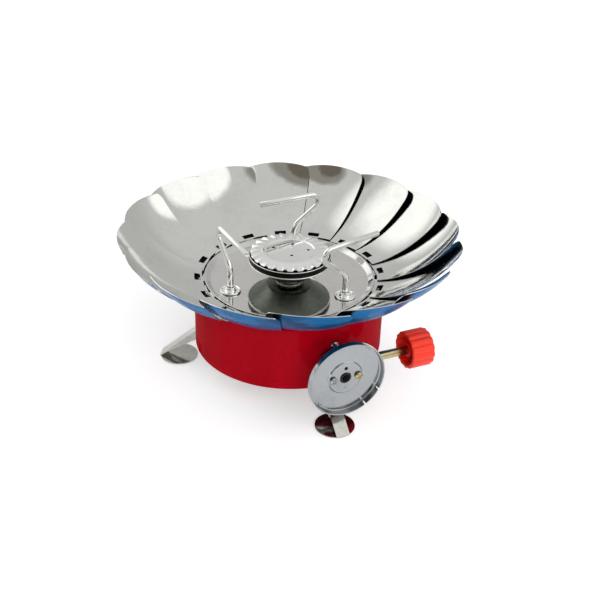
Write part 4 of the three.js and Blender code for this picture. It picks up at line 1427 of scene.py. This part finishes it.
class BuildDish(bpy.types.Operator):
    """Canister dish with its pressed centre, stampings, rim tab and two cross screws"""

    bl_idname = "stove.build_dish"
    bl_label = "Canister Dish"

    sheet = 0.001
    centre_radius, centre_rise, centre_bore = 0.0126, 0.0009, 0.0042
    corner = 0.002
    screw_side, hole_side = 0.0094, 0.0074
    vent_radius = 0.0013
    dimple_radius, dimple_lift = 0.0022, 0.0018
    groove_width, groove_top = 0.0005, 0.001
    tab_turn, tab_half = math.radians(-133), 0.007
    slit_width, slit_depth = 0.0014, 0.004
    stamp_turns = [math.radians(turn) for turn in (50, -136)]
    stamp_place, stamp_radius, stamp_bead = 0.0245, 0.0014, 0.00035
    screw_grip = 0.0052
    screw_turns = [math.radians(turn) for turn in (20, 45)]

    def execute(self, context):
        face = DISH_BACK + self.sheet
        raised = face + self.centre_rise
        dish = combine(self.pan(face, raised), self.holes(raised) + self.tab_slits())
        dish = combine(dish, [self.stamp(turn, face) for turn in self.stamp_turns], "UNION")
        piece("canister_dish", moved(dish, INLET_FRAME), [zinc_plate("Y")], "canister_flange")
        heads = ((self.screw_side, brass("Y"), "brass"), (-self.screw_side, zinc_plate("Y"), "zinc"))
        for i, (side, material, slot) in enumerate(heads):
            head = moved(cross_screw(self.screw_grip), turn_z(self.screw_turns[i]))
            screw = moved(moved(head, shift(side, 0, raised + GAP)), INLET_FRAME)
            piece(f"dish_screw_{i + 1}", screw, [material], f"flange_screw_{i + 1}")
        return {"FINISHED"}

    def pan(self, face, raised):
        """Sheet dish with a raised centre."""
        inner, slope = DISH_RADIUS - self.sheet, self.centre_radius - self.centre_rise
        return turned(
            [
                (self.centre_bore, DISH_BACK + self.centre_rise, FINE_EDGE),
                (slope, DISH_BACK + self.centre_rise, ROUND_EDGE),
                (self.centre_radius, DISH_BACK, ROUND_EDGE),
                (DISH_RADIUS, DISH_BACK, self.corner),
                (DISH_RADIUS, DISH_RIM, SOFT_EDGE),
                (inner, DISH_RIM, SOFT_EDGE),
                (inner, face, self.corner - self.sheet),
                (self.centre_radius, face, ROUND_EDGE),
                (slope, raised, ROUND_EDGE),
                (self.centre_bore, raised, FINE_EDGE),
            ],
            sides=192,
            steps=6,
        )

    def holes(self, raised):
        """Screw holes with a groove round each, a vent above the centre and a dimple below it."""
        back, front = DISH_BACK - OVERRUN, DISH_RIM + OVERRUN
        dimple = moved(self.ball(self.dimple_radius), shift(0, -self.hole_side, raised + self.dimple_lift))
        cutters = [moved(bar(self.vent_radius, back, front, sides=32), shift(0, self.hole_side)), dimple]
        inner = SCREW_HEAD + FINE_EDGE
        outer, bottom = inner + self.groove_width, -SOFT_EDGE
        groove = [(inner, bottom), (outer, bottom), (outer, self.groove_top), (inner, self.groove_top)]
        for side in (self.screw_side, -self.screw_side):
            cutters.append(moved(bar(SCREW_BORE, back, front), shift(side)))
            cutters.append(moved(lathe(groove, 40), shift(side, 0, raised)))
        return cutters

    def tab_slits(self):
        """Two slits that cut a tab out of the rim."""
        height = (DISH_BACK + DISH_RIM) / 2 + self.corner
        slits = []
        for side in (self.tab_half, -self.tab_half):
            slit = box(self.slit_width, self.slit_depth, DISH_RIM - DISH_BACK)
            slits.append(moved(moved(slit, shift(side, DISH_RADIUS, height)), turn_z(self.tab_turn)))
        return slits

    def ball(self, radius):
        arc = [math.pi * k / 16 for k in range(17)]
        return lathe([(radius * math.sin(a), -radius * math.cos(a)) for a in arc], 32)

    def stamp(self, turn, face):
        """Small half-moon bead pressed up near the rim."""
        turns = [math.pi * k / 12 for k in range(13)]
        points = [(self.stamp_radius * math.cos(t), self.stamp_radius * math.sin(t)) for t in turns]
        half = sweep(points, [self.stamp_bead] * len(points), 10)
        half = moved(half, Matrix.Rotation(math.radians(90), 4, "X"))
        half = moved(half, turn_z(math.radians(90)))
        return moved(moved(half, shift(self.stamp_place, 0, face)), turn_z(turn))


class BuildKnob(bpy.types.Operator):
    """Control knob on the brass stem, with its screw"""

    bl_idname = "stove.build_knob"
    bl_label = "Knob"

    wall, face, corner = 0.0024, 0.004, 0.0012
    hub, hub_setback = 0.0054, 0.0015
    rib_steps, rib_power, rib_root_share = 16, 0.7, 0.35
    bevel = 0.0002
    inside_green, inside_blue, inside_red_share = 0.002, 0.003, 0.9
    needle, needle_start, needle_end = 0.001, 0.0045, 0.0065
    stem_thin, stem_thick, socket = 0.002, 0.0031, 0.0034
    taper_start, taper_end = 0.019, 0.021
    thread_depth = 0.005
    screw_sink = 0.0013

    def execute(self, context):
        sizes = context.scene.stove_knob
        # Painted shade: the hollow at the back gets a darker copy of the knob's red.
        inside = [self.inside_red_share * sizes.plastic[0], self.inside_green, self.inside_blue]
        outer = knob_plastic("Knob Plastic", sizes.plastic, 0.38)
        hollow = knob_plastic("Knob Inside Shade", inside, 0.45)
        piece("hand_knob", self.knob(sizes), [outer, hollow], "control_knob", bevel=self.bevel)
        end = high("valve_spindle").x
        piece("valve_stem", self.stem(end), [brass()], "valve_spindle")
        seat = KNOB_FRONT - self.screw_sink
        bolt = moved(cross_screw(seat - (end - self.thread_depth)), shift(z=seat))
        piece("knob_bolt", moved(bolt, SPINDLE_FRAME), [zinc_plate("X")], "knob_screw")
        return {"FINISHED"}

    def stem(self, end):
        """Stem with a needle point, tapped at its end for the knob's screw."""
        stem = turned(
            [
                (0, self.needle_start, 0),
                (self.needle, self.needle_start, EDGE),
                (self.stem_thin, self.needle_end, EDGE),
                (self.stem_thin, self.taper_start, 0),
                (self.stem_thick, self.taper_end, SOFT_EDGE),
                (self.stem_thick, end, ROUND_EDGE),
                (0, end, 0),
            ]
        )
        bottom = end - self.thread_depth - GAP
        return moved(combine(stem, [bar(SCREW_BORE, bottom, end + OVERRUN)]), SPINDLE_FRAME)

    def knob(self, sizes):
        """Scalloped cap, hollow at the back, with a hub for the stem."""
        floor, inner = KNOB_FRONT - self.face, KNOB_RADIUS - self.wall
        outline = [
            (inner, KNOB_BACK, SOFT_EDGE),
            (KNOB_RADIUS, KNOB_BACK, 2 * SOFT_EDGE),
            (KNOB_RADIUS, KNOB_FRONT, self.corner),
            (0, KNOB_FRONT, 0),
            (0, floor, 0),
            (inner, floor, 2 * SOFT_EDGE),
        ]
        bm = turned(outline, sides=sizes.scallops * self.rib_steps, steps=5)
        for vert in bm.verts:
            radius = math.hypot(vert.co.x, vert.co.y)
            if radius < inner - GAP:
                continue
            outward = (radius - inner) / (KNOB_RADIUS - self.corner - inner)
            depth = sizes.depth * min(1, outward + self.rib_root_share)
            wave = abs(math.sin(sizes.scallops / 2 * math.atan2(vert.co.y, vert.co.x)))
            scale = 1 - depth * (1 - wave ** self.rib_power) / radius
            vert.co.x *= scale
            vert.co.y *= scale
        hub = bar(self.hub, KNOB_BACK + self.hub_setback, KNOB_FRONT - self.corner, sides=48)
        bm = combine(bm, [hub], "UNION")
        back, front = KNOB_BACK - OVERRUN, KNOB_FRONT + OVERRUN
        sink = self.screw_sink + GAP
        cutters = [
            bar(self.socket, back, high("valve_spindle").x + GAP, sides=40),
            bar(SCREW_BORE, back, front),
            bar(SCREW_HEAD + GAP, KNOB_FRONT - sink, front, sides=40),
        ]
        bm = combine(bm, cutters)
        # Painted shade: faces deep in the hollow take the darker red.
        hollow, deep = inner - sizes.depth / 2 + GAP, floor + GAP
        paint_where(bm, lambda centre: centre.to_2d().length < hollow and centre.z < deep)
        return moved(bm, SPINDLE_FRAME)


# Stage


EYE = Vector((-0.2557, -0.5757, 0.4249))
AHEAD = Vector((0.3607, 0.7843, -0.5047))
ROLL = math.radians(1.76)
WHITE, DIM = (1.35, 1.35, 1.31, 1), (0.56, 0.56, 0.55, 1)
GREY, DARK = (0.32, 0.31, 0.28, 1), (0.17, 0.15, 0.12, 1)
HORIZON, ZENITH = (0.61, 0.61, 0.60, 1), (0.70, 0.70, 0.69, 1)


class BuildStage(bpy.types.Operator):
    """Pale floor, soft studio light and the camera"""

    bl_idname = "stove.build_stage"
    bl_label = "Stage"

    floor_radius = 6
    floor_drop = 0.0001
    floor_glow = 0.36
    aim_height = 0.09

    def execute(self, context):
        sizes = context.scene.stove_stage
        scene = context.scene
        scene.view_settings.view_transform = "Standard"
        self.camera(scene, sizes)
        self.floor(scene, sizes)
        self.world(scene)
        self.lamp(scene, azimuth=-100, elevation=28, distance=1.6, size=1.2, watts=14.0 * sizes.light)
        return {"FINISHED"}

    def camera(self, scene, sizes):
        level = Vector((AHEAD.y, -AHEAD.x, 0)).normalized()
        upright = level.cross(AHEAD)
        right = level * math.cos(ROLL) + upright * math.sin(ROLL)
        up = upright * math.cos(ROLL) - level * math.sin(ROLL)
        data = bpy.data.cameras.new("photo_camera")
        data.lens = sizes.lens
        data.sensor_width = 36
        camera = bpy.data.objects.new("photo_camera", data)
        scene.collection.objects.link(camera)
        turn = Matrix((right, up, -AHEAD.normalized())).transposed()
        camera.matrix_world = Matrix.Translation(EYE) @ turn.to_4x4()
        scene.camera = camera

    def floor(self, scene, sizes):
        bm = bmesh.new()
        bmesh.ops.create_circle(bm, cap_ends=True, radius=self.floor_radius, segments=96)
        mesh = bpy.data.meshes.new("floor")
        bm.to_mesh(mesh)
        bm.free()
        floor = bpy.data.objects.new("floor", mesh)
        floor.location.z = -self.floor_drop
        scene.collection.objects.link(floor)
        mesh.materials.append(self.floor_paint(sizes))

    def floor_paint(self, sizes):
        """Pale paint that glows a little for the camera and in mirrors, and lights nothing."""
        made = bpy.data.materials.new("Floor Paint")
        made.use_nodes = True
        nodes = Nodes(made.node_tree)
        shader = made.node_tree.nodes["Principled BSDF"]
        shader.inputs["Base Color"].default_value = (*sizes.floor, 1)
        shader.inputs["Roughness"].default_value = 0.9
        shader.inputs["Specular IOR Level"].default_value = 0.1
        outputs = [f"Is {kind} Ray" for kind in ("Camera", "Glossy", "Transmission")]
        rays = [nodes.add("LightPath", output=output) for output in outputs]
        seen = nodes.math("MAXIMUM", nodes.math("MAXIMUM", rays[0], rays[1]), rays[2])
        strength = nodes.math("MULTIPLY", seen, self.floor_glow)
        glow = nodes.add("Emission", {"Color": (1, 1, 1, 1), "Strength": strength})
        both = nodes.add("AddShader", {0: shader.outputs[0], 1: glow})
        out = made.node_tree.nodes["Material Output"]
        made.node_tree.links.new(both, out.inputs["Surface"])
        return made

    def world(self, scene):
        """Grey studio with two white panels, a dim one and the dark room round the camera."""
        world = bpy.data.worlds.new("studio")
        world.use_nodes = True
        scene.world = world
        nodes = Nodes(world.node_tree)
        way = nodes.add("TexCoord", output="Generated")
        rise = nodes.add("SeparateXYZ", {0: way}, 2)
        sky = nodes.mix(nodes.span(rise, 0.0, 0.9), HORIZON, ZENITH)
        sky = nodes.mix(panel(nodes, way, (-143, 44), (28, 18), 0.3), sky, GREY)
        sky = nodes.mix(panel(nodes, way, (-151, 40), (15, 12), 0.3), sky, DARK)
        sky = nodes.mix(panel(nodes, way, (40, 16), (40, 18), 0.9), sky, DIM)
        sky = nodes.mix(panel(nodes, way, (-42, 38), (27, 23), 0.3), sky, WHITE)
        sky = nodes.mix(panel(nodes, way, (122, 30), (28, 28), 0.6), sky, WHITE)
        sky = nodes.mix(panel(nodes, way, (-115, 4), (70, 9), 0.3), sky, DARK)
        background = world.node_tree.nodes["Background"]
        nodes.put(background.inputs["Color"], sky)

    def lamp(self, scene, azimuth, elevation, distance, size, watts):
        """Soft square lamp that no mirror shows, aimed at the middle of the stove."""
        data = bpy.data.lights.new("fill_lamp", "AREA")
        data.size = size
        data.energy = watts
        lamp = bpy.data.objects.new("fill_lamp", data)
        way = compass(azimuth, elevation)
        lamp.location = way * distance + Vector((0, 0, self.aim_height))
        lamp.rotation_euler = way.to_track_quat("Z", "Y").to_euler()
        lamp.visible_camera = False
        lamp.visible_glossy = False
        scene.collection.objects.link(lamp)


def panel(nodes, way, middle, half_size, blur):
    """Mask of a rounded panel: its middle as (azimuth, elevation) and its half size, in degrees."""
    azimuth, elevation = middle
    across = nodes.vector("DOT_PRODUCT", way, tuple(compass(azimuth + 90, 0)), "Value")
    above = nodes.vector("DOT_PRODUCT", way, tuple(compass(azimuth, elevation + 90)), "Value")
    ahead = nodes.vector("DOT_PRODUCT", way, tuple(compass(azimuth, elevation)), "Value")
    across = nodes.math("DIVIDE", across, math.sin(math.radians(half_size[0])))
    above = nodes.math("DIVIDE", above, math.sin(math.radians(half_size[1])))
    far = nodes.math("MULTIPLY_ADD", across, across, nodes.math("MULTIPLY", above, above))
    inside = nodes.span(far, 1 + blur, 1 - blur)
    return nodes.math("MULTIPLY", inside, nodes.math("GREATER_THAN", ahead, 0.0))


def compass(azimuth, elevation):
    """Direction from an azimuth, counted from +X towards +Y, and an elevation, both in degrees."""
    a, e = math.radians(azimuth), math.radians(elevation)
    return Vector((math.cos(a) * math.cos(e), math.sin(a) * math.cos(e), math.sin(e)))


# Add-on


SETTINGS = {
    "stove_drum": DrumSettings,
    "stove_petals": PetalSettings,
    "stove_burner": BurnerSettings,
    "stove_supports": SupportSettings,
    "stove_knob": KnobSettings,
    "stove_stage": StageSettings,
}
BUILDERS = (
    BuildDrum,
    BuildTray,
    BuildPetals,
    BuildSupports,
    BuildLegs,
    BuildBurner,
    BuildGasTrain,
    BuildDish,
    BuildKnob,
    BuildStage,
)


class StovePanel(bpy.types.Panel):
    """Sizes, colours and builders of the stove"""

    bl_idname = "VIEW3D_PT_stove"
    bl_label = "Camping Stove"
    bl_space_type = "VIEW_3D"
    bl_region_type = "UI"
    bl_category = "Stove"

    def draw(self, context):
        for name, group in SETTINGS.items():
            column = self.layout.box().column()
            for key in group.__annotations__:
                column.prop(getattr(context.scene, name), key)
        for builder in BUILDERS:
            self.layout.operator(builder.bl_idname)


CLASSES = (*SETTINGS.values(), *BUILDERS, StovePanel)


def register():
    for cls in CLASSES:
        bpy.utils.register_class(cls)
    for name, group in SETTINGS.items():
        setattr(bpy.types.Scene, name, PointerProperty(type=group))


def unregister():
    for name in SETTINGS:
        delattr(bpy.types.Scene, name)
    for cls in reversed(CLASSES):
        bpy.utils.unregister_class(cls)


def main():
    register()
    for builder in BUILDERS:
        area, name = builder.bl_idname.split(".")
        getattr(getattr(bpy.ops, area), name)()


if __name__ == "__main__":
    main()
